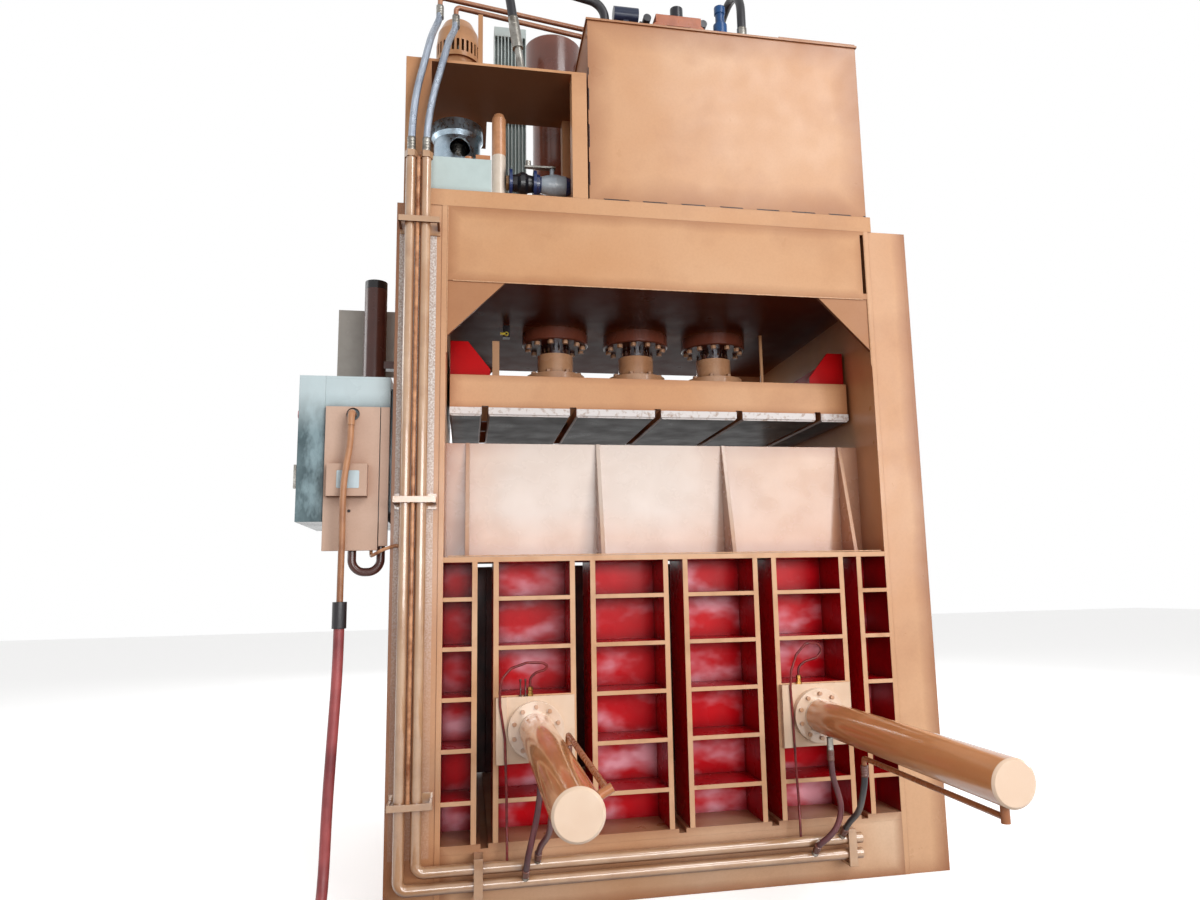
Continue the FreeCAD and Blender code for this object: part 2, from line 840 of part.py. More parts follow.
def lock_bar():
    """Swing bar that hangs beside the door and turns up across its edge to lock it."""
    plane_y = back + d.lock_seat + d.running_gap
    arm = profile("XZ", [[(-d.lock_half_width, 0), (-d.lock_half_width, -d.lock_reach),
                          (-d.lock_half_width / 2, -d.lock_reach - d.lock_half_width / 2),
                          (d.lock_half_width / 2, -d.lock_reach - d.lock_half_width / 2),
                          (d.lock_half_width, -d.lock_reach), (d.lock_half_width, 0)]],
                  d.lock_plate, (d.lock_x, plane_y, d.lock_z))
    eye = rod((d.lock_x, plane_y, d.lock_z), "+y", d.lock_half_width, d.lock_plate)
    grip = rod((d.lock_x, plane_y + d.lock_plate, d.lock_z - d.lock_reach), "+y", d.lock_pin,
               d.lock_plate * 4)
    bore = rod((d.lock_x, plane_y - 1, d.lock_z), "+y", d.lock_pin + d.running_gap, d.lock_plate + 2)
    node("lock_bar", cut(fuse([arm, eye, grip]), [bore]))


lock_bar()


# ---- main rams ----------------------------------------------------------------------
ring_low = d.beam_bottom - d.ring_height
gland_top = d.beam_bottom + d.gland_height
barrel_top = head_bottom - d.head_plug
platen_top = d.platen_bottom + d.platen_height
saddle_top = platen_top + d.saddle_height


def main_barrel(place_x):
    """Barrel with its gland ring under the beam and its head above."""
    bore = d.rod_radius + d.running_gap
    section = [(bore, ring_low), (d.ring_radius - d.head_chamfer / 2, ring_low),
               (d.ring_radius, ring_low + d.head_chamfer / 2), (d.ring_radius, d.beam_bottom),
               (d.barrel_radius, d.beam_bottom), (d.barrel_radius, head_bottom),
               (d.head_radius, head_bottom), (d.head_radius, d.head_top - d.head_chamfer),
               (d.head_radius - d.head_chamfer, d.head_top), (0, d.head_top), (0, barrel_top),
               (d.barrel_bore, barrel_top), (d.barrel_bore, gland_top), (bore, gland_top)]
    return turned(section, (place_x, 0, 0), name="Barrel")


ram_places = [d.ram_pitch * i for i in (-1, 0, 1)]
node("main_barrels", group([main_barrel(ram_x) for ram_x in ram_places]))

rods = []
for ram_x in ram_places:
    piston_top = barrel_top - d.piston_top_gap
    piston_radius = d.barrel_bore - d.running_gap
    section = [(0, saddle_top), (d.rod_radius, saddle_top), (d.rod_radius, piston_top - d.piston_height),
               (piston_radius, piston_top - d.piston_height), (piston_radius, piston_top), (0, piston_top)]
    rods.append(turned(section, (ram_x, 0, 0), name="Rod"))
node("main_rods", group(rods))

ring_bolts = []
for ram_x in ram_places:
    for bolt_x, bolt_y in circle_points(ram_x, d.ram_pitch * 0, d.ring_bolt_circle, d.ring_bolts, 15.0):
        ring_bolts.append(hexagon((bolt_x, bolt_y, ring_low - d.ring_bolt_height), "+z",
                                  d.ring_bolt_radius, d.ring_bolt_height))

flanges = []
flange_bolts = []
for ram_x in ram_places:
    bore = d.rod_radius + d.running_gap
    flange_top = saddle_top + d.flange_height
    section = [(bore, saddle_top), (d.flange_radius, saddle_top), (d.flange_radius, flange_top),
               (d.collar_radius, flange_top), (d.collar_radius, flange_top + d.collar_height),
               (bore, flange_top + d.collar_height)]
    flanges.append(turned(section, (ram_x, 0, 0), name="Flange"))
    for bolt_x, bolt_y in circle_points(ram_x, d.ram_pitch * 0, d.flange_bolt_circle, d.flange_bolts, 22.5):
        flange_bolts.append(hexagon((bolt_x, bolt_y, flange_top), "+z", d.flange_bolt_radius,
                                    d.flange_bolt_height))
node("rod_collars", group(flanges))
node("collar_bolts", group(flange_bolts))


# ---- platen -------------------------------------------------------------------------
platen_front = front + d.platen_front
platen_back = platen_front + d.platen_depth


def platen():
    """Slotted press plate under a grid of ribs, with the saddle that takes the rods."""
    grid_low = d.platen_bottom + d.segment
    half_slot = d.platen_slot / 2
    chamfer = d.platen_slot / 4
    parts = []
    left = -d.platen_half
    spans = []
    for centre in slots:
        spans.append((left, centre - half_slot))
        left = centre + half_slot
    spans.append((left, d.platen_half))
    for low_x, high_x in spans:
        outline = [(low_x + chamfer, d.platen_bottom), (high_x - chamfer, d.platen_bottom),
                   (high_x, d.platen_bottom + chamfer), (high_x, grid_low), (low_x, grid_low),
                   (low_x, d.platen_bottom + chamfer)]
        parts.append(profile("XZ", [outline], d.platen_depth, (0, platen_front, 0), name="Segment"))
        parts.append(box((low_x, platen_front - d.platen_lip, d.platen_bottom + chamfer),
                         (high_x, platen_front, d.platen_bottom + d.platen_lip_height)))
    outer = d.platen_half
    parts.append(box((-outer, platen_front, grid_low), (outer, platen_front + d.platen_plate, platen_top)))
    parts.append(box((-outer, platen_back - d.platen_plate, grid_low), (outer, platen_back, platen_top)))
    inner_front = platen_front + d.platen_plate
    inner_back = platen_back - d.platen_plate
    for low_x in (-outer, outer - d.platen_plate):
        parts.append(box((low_x, inner_front, grid_low), (low_x + d.platen_plate, inner_back, platen_top)))
    for line in (-d.rod_line, d.rod_line):
        parts.append(box((-outer + d.platen_plate, line - d.platen_rib / 2, grid_low),
                         (outer - d.platen_plate, line + d.platen_rib / 2, platen_top)))
    rows = [(inner_front, -d.rod_line - d.platen_rib / 2),
            (-d.rod_line + d.platen_rib / 2, d.rod_line - d.platen_rib / 2),
            (d.rod_line + d.platen_rib / 2, inner_back)]
    for share in (-1.5, -0.5, 0.5, 1.5):
        middle = d.module * share
        for low_y, high_y in rows:
            parts.append(box((middle - d.platen_rib / 2, low_y, grid_low),
                             (middle + d.platen_rib / 2, high_y, platen_top)))
    saddle_low = front + d.saddle_front
    parts.append(box((-d.saddle_half, saddle_low, platen_top),
                     (d.saddle_half, saddle_low + d.saddle_depth, saddle_top)))
    node("platen", group(parts))


platen()


def platen_guides():
    """Guide plates that stand on the platen's corners, and the wear shoes between them."""
    fronts = []
    rears = []
    shoes = []
    for side in (-1, 1):
        edge = d.platen_half * side
        outline = [(edge, platen_top), (edge - d.guide_width * side, platen_top),
                   (edge - d.guide_width * side, platen_top + d.guide_lip),
                   (edge - d.guide_shoulder * side, platen_top + d.guide_height),
                   (edge, platen_top + d.guide_height)]
        fronts.append(profile("XZ", [outline], d.guide_plate, (0, platen_front + d.guide_set_back, 0)))
        rear_y = platen_back - d.guide_set_back - d.guide_plate
        rears.append(profile("XZ", [outline], d.guide_plate, (0, rear_y, 0)))
        low_x = edge if side < 0 else edge - d.guide_plate
        shoes.append(box((low_x, platen_front + d.guide_set_back + d.guide_plate, platen_top),
                         (low_x + d.guide_plate, rear_y, platen_top + d.guide_height)))
    node("platen_guides", group(fronts + rears + shoes))


platen_guides()

post_y = -d.rod_line
post = box((-d.post_x - d.post_width / 2, post_y - d.post_plate / 2, platen_top),
           (-d.post_x + d.post_width / 2, post_y + d.post_plate / 2, d.post_top))
marker = rod((d.stroke_rod_x, post_y, platen_top), "+z", d.stroke_rod_radius, d.stroke_rod_top - platen_top)
node("travel_markers", group([post, marker]))

switch_x = -d.post_x + d.post_width / 2 + d.switch_width
switch_low = d.beam_bottom - d.switch_height
switch_front = post_y - d.switch_depth / 2
switch_case = box((switch_x - d.switch_width / 2, switch_front, switch_low),
                  (switch_x + d.switch_width / 2, switch_front + d.switch_depth, d.beam_bottom))
switch_spindle = rod((switch_x, switch_front, switch_low + d.switch_lever * 1.5), "-y",
                     d.switch_lever / 2, d.switch_lever * 1.5)
node("limit_switch", fuse([switch_case, switch_spindle]))
arm_y = switch_front - d.running_gap
arm_z = switch_low + d.switch_lever * 1.5
arm_eye = rod((switch_x, arm_y, arm_z), "-y", d.switch_lever, d.switch_lever)
arm_bar = box((switch_x - d.switch_width * 0.9, arm_y - d.switch_lever, arm_z - d.switch_lever / 2),
              (switch_x, arm_y, arm_z + d.switch_lever / 2))
arm_bore = rod((switch_x, arm_y + 1, arm_z), "-y", d.switch_lever / 2 + d.running_gap, d.switch_lever + 2)
node("switch_arm", cut(fuse([arm_eye, arm_bar]), [arm_bore]))


# ---- ejectors -----------------------------------------------------------------------
def ejector(name, side):
    """Horizontal ram that pushes the finished bale out through the door."""
    axis_x = d.ejector_x * side
    plate_front = front - d.mount_plate
    half_w = d.mount_width / 2
    half_h = d.mount_height / 2
    low_z = d.ejector_z - half_h
    plate = profile("XZ", [rectangle(axis_x - half_w, low_z, axis_x + half_w, low_z + d.mount_height)],
                    d.mount_plate, (0, plate_front, 0),
                    [(axis_x, d.ejector_z, d.ejector_rod_hole)], "Mount")
    strip = box((axis_x - half_w, plate_front - d.mount_strip_plate, low_z),
                (axis_x - half_w + d.mount_strip, plate_front, low_z + d.mount_height))
    bore = d.ejector_rod + d.running_gap
    flange = d.ejector_flange_height
    length = d.ejector_length - d.mount_plate
    gland = flange + d.ejector_gland
    cap_inner = length - d.ejector_cap
    section = [(bore, 0), (d.ejector_flange, 0), (d.ejector_flange, flange), (d.ejector_barrel, flange),
               (d.ejector_barrel, length - d.ejector_cap_chamfer),
               (d.ejector_barrel - d.ejector_cap_chamfer, length), (0, length), (0, cap_inner),
               (d.ejector_bore, cap_inner), (d.ejector_bore, gland), (bore, gland)]
    barrel = turned(section, (axis_x, plate_front, d.ejector_z), "-y", "Barrel")
    bolts = []
    for bolt_x, bolt_z in circle_points(axis_x, d.ejector_z, d.ejector_bolt_circle, d.ejector_bolts, 18.0):
        bolts.append(rod((bolt_x, plate_front - flange, bolt_z), "-y", d.ejector_bolt_radius,
                         d.ejector_bolt_height))
    node("ejector_barrel_" + name, barrel)
    rod_start = liner_back + d.pad_gap
    rod_end = plate_front - cap_inner + d.ejector_piston + d.ejector_cap
    piston_radius = d.ejector_bore - d.running_gap
    rod_length = rod_start - rod_end
    section = [(0, 0), (d.ejector_rod, 0), (d.ejector_rod, rod_length), (piston_radius, rod_length),
               (piston_radius, rod_length + d.ejector_piston), (0, rod_length + d.ejector_piston)]
    shaft = turned(section, (axis_x, rod_start, d.ejector_z), "-y", "Rod")
    pad = box((axis_x - d.pad_width / 2, rod_start, d.pad_bottom),
              (axis_x + d.pad_width / 2, rod_start + d.pad_plate, d.pad_top))
    node("ejector_ram_" + name, group([shaft, pad]))
    return [plate, strip], bolts


left_mount, left_bolts = ejector("left", -1)
right_mount, right_bolts = ejector("right", 1)
node("ejector_mounts", group(left_mount + right_mount))
node("frame_bolts", group(ring_bolts + left_bolts + right_bolts))

# ---- pipework on the front ----------------------------------------------------------
pipe_y = front - d.pipe_stand_off


def elbow(centre, angle_turn, name="Elbow"):
    """A quarter bend; the turn places it."""
    item = doc.addObject("Part::Torus", name)
    item.Radius1 = number(d.elbow_sweep)
    item.Radius2 = number(d.riser_radius)
    item.Angle3 = 90
    bind(item, "Radius1", d.elbow_sweep)
    bind(item, "Radius2", d.riser_radius)
    return place(item, centre, angle_turn)


def riser(name, place_x, run_z, top_z):
    """A pipe up the left column and along the foot of the press."""
    sweep = d.elbow_sweep
    upright = rod((-place_x, pipe_y, run_z + sweep), "+z", d.riser_radius, top_z - run_z - sweep)
    bend = elbow((-place_x + sweep, pipe_y, run_z + sweep),
                 FreeCAD.Rotation(Vector(1, 0, 0), 90) * FreeCAD.Rotation(Vector(0, 0, 1), 180))
    level = rod((-place_x + sweep, pipe_y, run_z), "+x", d.riser_radius, d.pipe_end + place_x - sweep)
    nut = hexagon((-place_x, pipe_y, top_z), "+z", d.union_radius, d.union_length)
    parts = [upright, bend, level, nut]
    node(name, group(parts))


riser("riser_outer", d.riser_outer_x, d.lower_pipe_z, riser_top)
riser("riser_inner", d.riser_inner_x, d.upper_pipe_z, riser_top)


def pipe_clamps():
    """Bracket frames that hold the risers to the column."""
    bar_y = pipe_y - d.riser_radius
    face = front + d.face_recess
    parts = []
    for centre in (clamp_high, d.clamp_middle, d.clamp_low):
        low_z = centre - d.clamp_rise / 2
        high_z = centre + d.clamp_rise / 2
        plate_low = centre - d.clamp_base / 2
        parts.append(box((-d.clamp_left, face - d.clamp_thin, plate_low),
                         (-d.clamp_right, face, plate_low + d.clamp_base)))
        parts.append(box((-d.clamp_left, bar_y - d.clamp_bar, low_z), (-d.clamp_right, bar_y, high_z)))
        for low_x in (-d.clamp_left, -d.clamp_right - d.clamp_bar):
            parts.append(box((low_x, bar_y, low_z), (low_x + d.clamp_bar, face - d.clamp_thin, high_z)))
    strap_x = -d.stiffener_outer + d.clamp_height
    for low_x, reach in ((strap_x, front), (d.pipe_end - d.clamp_height * 2, front)):
        low = d.lower_pipe_z - d.riser_radius * 2
        high = d.upper_pipe_z + d.riser_radius * 2
        parts.append(box((low_x, bar_y - d.clamp_bar, low), (low_x + d.clamp_height, bar_y, high)))
        for low_z in (low, high - d.clamp_bar):
            parts.append(box((low_x, bar_y, low_z), (low_x + d.clamp_height, reach, low_z + d.clamp_bar)))
    node("pipe_clamps", group(parts))


pipe_clamps()


def thin_pipes():
    """Conduit between the risers, pipes along the ejectors and the looped leak pipes."""
    middle = -(d.riser_outer_x + d.riser_inner_x) / 2
    low_z = d.clamp_low - d.clamp_height / 2
    pieces = [rod((middle, pipe_y - d.riser_radius + d.conduit_radius, low_z), "+z", d.conduit_radius,
                  riser_top - low_z)]
    for route in (LEAK_LEFT, LEAK_RIGHT):
        pieces.append(tube("leak", route, d.leak_diameter, 40.0))
    for base_x in (-723, 615):
        pieces.append(rod((base_x, -888, 943), "+z", d.leak_fitting, 40))
    pieces.append(tube("wire", WIRE, d.wire_diameter, 30.0))
    for route in (FEED_LEFT, FEED_RIGHT):
        pieces.append(tube("feed", route, d.feed_diameter, 18.0))
    outward = FreeCAD.Rotation(Vector(0, 0, 1), Vector(0.889, 0, 0.458))
    start = (-627.7, -2395, 829.8)
    boss = rod(start, "+z", d.feed_boss, 44)
    pieces.append(place(boss, start, outward))
    pieces.append(rod((699, -2395, 657), "+z", d.feed_boss, 55.5))
    node("thin_pipes", group(pieces))


WIRE = [(-1470, -780, 1773.7), (-1470, -780, 1650), (-1468, -800, 1611), (-1457, -850, 1611),
        (-1411, -884, 1634), (-1351, -892, 1655), (-1292, -893, 1650), (-1250, -894, 1626),
        (-1250, -872.3, 1626)]
LEAK_LEFT = [(-723, -888, 983), (-723, -888, 1026), (-696, -890, 1050), (-655, -892, 1060),
             (-640, -894, 1078), (-662, -898, 1094), (-739, -905, 1098), (-815, -914, 1075),
             (-855, -920, 1030), (-866, -921, 970), (-864, -921, 905), (-842, -921, 760),
             (-834, -921, 500), (-833, -922, 380), (-833, -940, 300), (-833, -950, 240.5)]
LEAK_RIGHT = [(615, -888, 983), (615, -888, 1026), (650, -890, 1052), (715, -896, 1070), (742, -900, 1105),
              (720, -906, 1140), (652, -914, 1144), (596, -920, 1090), (564, -921, 1010), (557, -921, 930),
              (562, -921, 780), (567, -921, 520), (572, -922, 380), (566, -940, 300), (562, -950, 240.5)]
FEED_LEFT = [(-604, -2380, 842), (-604, -1390, 842), (-604, -1390, 800)]
FEED_RIGHT = [(699, -2380, 675), (699, -1390, 675), (699, -1390, 645)]
thin_pipes()

EJECTOR_HOSES = {
    "left_front": [(-692, -1075, 655), (-692, -1075, 590), (-698, -1072, 505), (-714, -1068, 415),
                   (-735, -1062, 330), (-748, -1048, 268), (-752, -1021.2, 217.2), (-752, -982, 178)],
    "left_rear": [(-604, -1390, 800), (-604, -1390, 735), (-622, -1382, 655), (-652, -1345, 575),
                  (-664, -1275, 497), (-661, -1195, 420), (-670, -1115, 366), (-698, -1044.2, 309.2),
                  (-698, -982, 247)],
    "right_front": [(682, -1075, 655), (682, -1075, 598), (690, -1068, 528), (714, -1061, 460),
                    (730, -1057, 395), (721, -1054, 335), (696, -1051, 287), (662, -1044, 252),
                    (622, -1021.2, 217.2), (622, -982, 178)],
    "right_rear": [(699, -1390, 645), (699, -1390, 590), (706, -1352, 525), (727, -1282, 462),
                   (755, -1200, 412), (775, -1120, 366), (764, -1044.2, 309.2), (764, -982, 247)],
}
hoses = [tube("hose_" + key, route, d.hose_diameter) for key, route in EJECTOR_HOSES.items()]
node("ejector_hoses", group(hoses))

RISER_HOSES = {
    "outer": [(-1306, -950, 3601), (-1306, -950, 3720), (-1288, -943, 3930), (-1247, -925, 4130),
              (-1230, -892, 4240), (-1224, -822, 4325), (-1221, -745, 4398), (-1218, -670, 4470),
              (-1208, -606, 4545), (-1191, -576, 4615), (-1191, -576, 4685)],
    "inner": [(-1233, -950, 3601), (-1233, -950, 3715), (-1208, -942, 3910), (-1162, -924, 4110),
              (-1143, -894, 4215), (-1136, -825, 4300), (-1132, -748, 4370), (-1129, -672, 4436),
              (-1119, -608, 4503), (-1103, -577, 4570), (-1103, -577, 4635)],
}
braids = [tube("braid_" + key, route, d.braid_diameter) for key, route in RISER_HOSES.items()]
node("riser_hoses", group(braids))


# ---- power unit base, tank and deck ---------------------------------------------------
unit_top = d.column_height + d.unit_height
unit_back = front + d.unit_depth


def unit_base():
    """Channel frame on top of the press."""
    wall = d.unit_wall
    width = d.unit_height * 0.6
    low = d.column_height
    channel = [(0, low), (width, low), (width, low + wall), (wall, low + wall), (wall, unit_top - wall),
               (width, unit_top - wall), (width, unit_top), (0, unit_top)]
    length = d.unit_left + d.unit_right
    front_rail = profile("YZ", [[(front + a, b) for a, b in channel]], length, (-d.unit_left, 0, 0))
    rear_rail = profile("YZ", [[(unit_back - a, b) for a, b in channel]], length, (-d.unit_left, 0, 0))
    parts = [front_rail, rear_rail]
    for low_x in (-d.unit_left, -d.tank_left, d.unit_right - wall):
        parts.append(box((low_x, front + width, low), (low_x + wall, unit_back - width, unit_top)))
    parts.append(box((-d.unit_left, front, unit_top), (d.unit_right, unit_back, unit_top + d.unit_floor)))
    node("unit_base", group(parts))


unit_base()
floor_z = unit_top + d.unit_floor
tank_top = floor_z + d.tank_height
tank = box((-d.tank_left, front, floor_z), (d.tank_right, unit_back, tank_top))
node("tank", tank)
node("tank_lid", group([box((-d.tank_left - d.tank_lip, front - d.tank_lip, tank_top),
                            (d.tank_right + d.tank_lip, unit_back + d.tank_lip, tank_top + d.tank_lid)),
                        box((d.cover_left, front, tank_top + d.tank_lid),
                            (d.tank_right, unit_back, tank_top + d.tank_lid * 2))]))
lid_top = tank_top + d.tank_lid


link_y = front + d.link_set


def motor_deck():
    """Shelf beside the tank for the motors, on two posts and the tank."""
    deck_right = -d.tank_left - d.tank_lip
    deck_back = front + d.deck_depth
    deck_step = front + d.deck_short
    outline = [(-d.deck_left, front), (deck_right, front), (deck_right, deck_step),
               (-d.deck_inner, deck_step), (-d.deck_inner, deck_back), (-d.deck_left, deck_back)]
    parts = [profile("XY", [outline], d.deck_plate, (0, 0, deck_bottom),
                     [(-d.motor_x, -d.motor_y, d.coupling_radius)], name="Deck")]
    post = d.link_post / 2
    parts.append(box((-d.link_post_x - post, link_y - post, deck_bottom + d.deck_plate),
                     (-d.link_post_x + post, link_y + post, d.link_post_top)))
    post_left = box((-d.deck_left, front, d.column_height),
                    (-d.unit_left, front + d.deck_post_plate, deck_bottom))
    rear_left = box((-d.deck_left, deck_back - d.deck_post_plate, d.column_height),
                    (-d.unit_left, deck_back, deck_bottom))
    post_right = box((deck_right - d.deck_post, front, floor_z),
                     (deck_right, front + d.deck_post, deck_bottom))
    rear_right = box((deck_right - d.deck_post, deck_step - d.deck_post, floor_z),
                     (deck_right, deck_step, deck_bottom))
    node("motor_deck", group(parts + [post_left, rear_left, post_right, rear_right]))


motor_deck()
deck_top = deck_bottom + d.deck_plate
motor_centre = (-d.motor_x, -d.motor_y)


def motor():
    """Upright motor: finned body, slotted cowl over the fan and a domed cap."""
    top = deck_top + d.motor_length
    band_top = top + d.cowl_band
    foot = d.motor_radius + d.cowl_wall * 4
    body = turned([(d.motor_bore, deck_top), (foot, deck_top), (foot, deck_top + d.deck_plate),
                   (d.motor_radius, deck_top + d.deck_plate), (d.motor_radius, top), (d.motor_bore, top)],
                  motor_centre + (0,), name="Stator")
    inner = d.cowl_radius - d.cowl_wall
    dome = d.cowl_rise
    cowl = turned([(d.motor_radius, top - d.cowl_wall * 3), (d.cowl_radius, top - d.cowl_wall * 3),
                   (d.cowl_radius, band_top), (d.cowl_radius * 0.92, band_top + dome * 0.45),
                   (d.cowl_radius * 0.68, band_top + dome * 0.80),
                   (d.cowl_radius * 0.35, band_top + dome * 0.96),
                   (0, band_top + dome), (0, band_top + dome - d.cowl_wall),
                   (inner * 0.35, band_top + dome * 0.96 - d.cowl_wall),
                   (inner * 0.68, band_top + dome * 0.80 - d.cowl_wall),
                   (inner * 0.92, band_top + dome * 0.45 - d.cowl_wall), (inner, band_top),
                   (inner, top), (d.motor_radius, top)],
                  motor_centre + (0,), name="Cowl")
    slots_cut = []
    for i in range(int(number(d.cowl_slots) / 2)):
        angle = 360.0 * i / number(d.cowl_slots)
        slot = doc.addObject("Part::Box", "Slot")
        slot.Length = number(d.cowl_radius) * 2.4
        slot.Width = number(d.cowl_slot)
        slot.Height = number(d.cowl_band) * 0.76
        bind(slot, "Length", d.cowl_radius * 2.4)
        bind(slot, "Width", d.cowl_slot)
        bind(slot, "Height", d.cowl_band * 0.76)
        cosine, sine = math.cos(math.radians(angle)), math.sin(math.radians(angle))
        corner = (-d.motor_x - d.cowl_radius * 1.2 * cosine + d.cowl_slot * 0.5 * sine,
                  -d.motor_y - d.cowl_radius * 1.2 * sine - d.cowl_slot * 0.5 * cosine,
                  top + d.cowl_band * 0.12)
        place(slot, corner, FreeCAD.Rotation(Vector(0, 0, 1), angle))
        slots_cut.append(slot)
    node("motor", group([body, cut(cowl, [fuse(slots_cut)])]))
    fan_z = top + d.cowl_band * 0.2
    blades = [rod(motor_centre + (fan_z - 6,), "+z", d.shaft_radius * 2, d.cowl_band * 0.5),
              rod(motor_centre + (fan_z - 6,), "+z", d.fan_radius, 5)]
    for i in range(int(number(d.fan_blades))):
        angle = 360.0 * i / number(d.fan_blades)
        blade = doc.addObject("Part::Box", "Blade")
        blade.Length = number(d.fan_radius) - 6
        blade.Width = 5
        blade.Height = number(d.cowl_band) * 0.4
        bind(blade, "Length", d.fan_radius - 6)
        bind(blade, "Height", d.cowl_band * 0.4)
        blades.append(place(blade, motor_centre + (fan_z - 2,), FreeCAD.Rotation(Vector(0, 0, 1), angle)))
    shaft_low = bell_bottom + d.bell_wall
    shaft = rod(motor_centre + (shaft_low,), "+z", d.shaft_radius, fan_z - shaft_low)
    half_low = deck_bottom - d.coupling_height * 2
    hubs = [rod(motor_centre + (half_low,), "+z", d.coupling_radius - 6, d.coupling_height * 0.46),
            rod(motor_centre + (half_low + d.coupling_height * 0.40,), "+z", d.coupling_radius - 14,
                d.coupling_height * 0.2),
            rod(motor_centre + (half_low + d.coupling_height * 0.54,), "+z", d.coupling_radius - 6,
                d.coupling_height * 0.46)]
    node("rotor", fuse([shaft] + hubs + blades))


motor()


def bell_housing():
    """Housing under the deck that joins motor and pump, with a round window."""
    wall = d.bell_wall
    top = deck_bottom
    radius = d.bell_radius
    shell = turned([(d.motor_bore + 6, bell_bottom), (radius * 0.72, bell_bottom),
                    (radius * 0.72, bell_bottom + wall * 2), (radius * 0.9, bell_bottom + wall * 6),
                    (radius * 0.9, top - wall * 8), (radius, top - wall * 6), (radius, top),
                    (radius * 0.9 - wall, top), (radius * 0.9 - wall, bell_bottom + wall * 6),
                    (radius * 0.72 - wall, bell_bottom + wall), (d.motor_bore + 6, bell_bottom + wall)],
                   motor_centre + (0,), name="Bell")
    window = rod((-d.motor_x + d.bell_window * 0.3, -d.motor_y,
                  deck_bottom - d.coupling_height * 1.6), "-y",
                 d.bell_window, d.bell_radius * 2)
    node("bell_housing", cut(shell, [window]))
    radius = d.pump_radius
    low = bell_bottom - d.pump_height
    node("pump", turned([(0, low), (radius * 0.55, low), (radius * 0.8, low + 30), (radius * 0.8, low + 110),
                         (radius, low + 120), (radius, low + 200), (radius * 0.7, low + 210),
                         (radius * 0.7, bell_bottom), (0, bell_bottom)],
                        motor_centre + (0,), name="Pump"))


bell_housing()


def cooler_motor():
    """Upright oil cooler behind the deck: two tanks, a finned core and the motor of its fan."""
    low_x = -d.cooler_left
    high_x = -d.cooler_right
    face = front + d.cooler_front
    fin_back = face + d.cooler_fin_depth
    core_back = fin_back + d.cooler_core
    cooler_top = floor_z + d.cooler_height
    fin_low = floor_z + d.cooler_tank
    fin_high = cooler_top - d.cooler_tank
    parts = [box((low_x, face, floor_z), (high_x, core_back, fin_low)),
             box((low_x, face, fin_high), (high_x, core_back, cooler_top)),
             box((low_x, fin_back, fin_low), (high_x, core_back, fin_high))]
    count = int(number(d.cooler_fins))
    for i in range(count):
        fin_x = low_x + (d.cooler_left - d.cooler_right - d.cooler_fin) * i / (count - 1)
        parts.append(box((fin_x, face, fin_low), (fin_x + d.cooler_fin, fin_back, fin_high)))
    middle = (low_x + high_x) / 2
    parts.append(rod((middle, core_back, deck_bottom), "+y", d.cooler_motor, d.cooler_motor * 1.4))
    node("cooler_motor", group(parts))


cooler_motor()


def unit_fittings():
    """Terminal box, filter, suction line, ball valve and manifold."""
    box_y = front + d.box_front
    case = box((-d.box_left, box_y, floor_z), (-d.box_right, box_y + d.box_depth, floor_z + d.box_height))
    knob = rod((-d.box_left + 190, box_y + 60, floor_z + d.box_height), "+z", 22, 34)
    beacon = box((-d.box_left + 225, box_y + 30, floor_z + d.box_height),
                 (-d.box_left + 300, box_y + 110, floor_z + d.box_height + 40))
    node("terminal_box", group([case, knob, beacon]))
    line_y = front + d.line_y
    dome = d.filter_top - d.filter_radius
    column = turned([(0, floor_z), (d.filter_radius * 1.3, floor_z), (d.filter_radius * 1.3, floor_z + 40),
                     (d.filter_radius, floor_z + 40), (d.filter_radius, dome),
                     (d.filter_radius * 0.7, dome + d.filter_radius * 0.7), (0, d.filter_top)],
                    (-d.filter_x, line_y, 0), name="Filter")
    radius = d.suction_radius
    union = [rod((-d.filter_x + d.filter_radius, line_y, d.suction_z), "+x", radius * 0.8, 17),
             hexagon((-d.filter_x + d.filter_radius + 1, line_y, d.suction_z), "+x", radius, 14)]
    joint_length = d.joint_right * -1 + d.joint_left
    lip = 16
    flange = d.joint_flange
    mid = d.joint_radius
    bellow = turned([(0, 0), (flange, 0), (flange, lip), (mid * 0.72, lip), (mid * 0.8, joint_length * 0.3),
                     (mid, joint_length * 0.42), (mid, joint_length * 0.58), (mid * 0.8, joint_length * 0.7),
                     (mid * 0.72, joint_length - lip), (flange, joint_length - lip), (flange, joint_length),
                     (0, joint_length)], (-d.joint_left, line_y, d.suction_z), "+x", "Joint")
    node("suction_line", group([column, fuse(union), bellow]))
    valve_length = d.joint_right - d.tank_left
    quarter = valve_length / 4
    valve = turned([(0, 0), (d.valve_radius, 0), (d.valve_radius, 18), (d.valve_radius * 0.8, 24),
                    (d.valve_radius, quarter), (d.valve_radius * 1.1, quarter * 1.6),
                    (d.valve_radius, quarter * 2.4), (d.valve_radius * 0.8, quarter * 3),
                    (d.valve_radius * 1.1, quarter * 3.1), (d.valve_radius * 1.1, valve_length),
                    (0, valve_length)],
                   (-d.joint_right, line_y, d.suction_z), "+x", "Valve")
    stem = rod((-d.lever_x, line_y, d.suction_z), "+z", 12, d.valve_radius + 40)
    node("ball_valve", fuse([valve, stem]))
    lever_z = d.suction_z + d.valve_radius + 40 + d.running_gap
    handle = profile("XY", [[(-18, -18), (-18, 18), (0, 22), (18, 18),
                             (d.lever_length, 12), (d.lever_length, -12),
                             (18, -18), (0, -22)]], 10, (-d.lever_x, line_y, lever_z))
    place(handle, (-d.lever_x, line_y, lever_z), FreeCAD.Rotation(Vector(0, 0, 1), 180))
    grip = rod((-d.lever_x - d.lever_length + 20, line_y, lever_z + 10), "+z", 14, 30)
    node("valve_lever", fuse([handle, grip]))


unit_fittings()


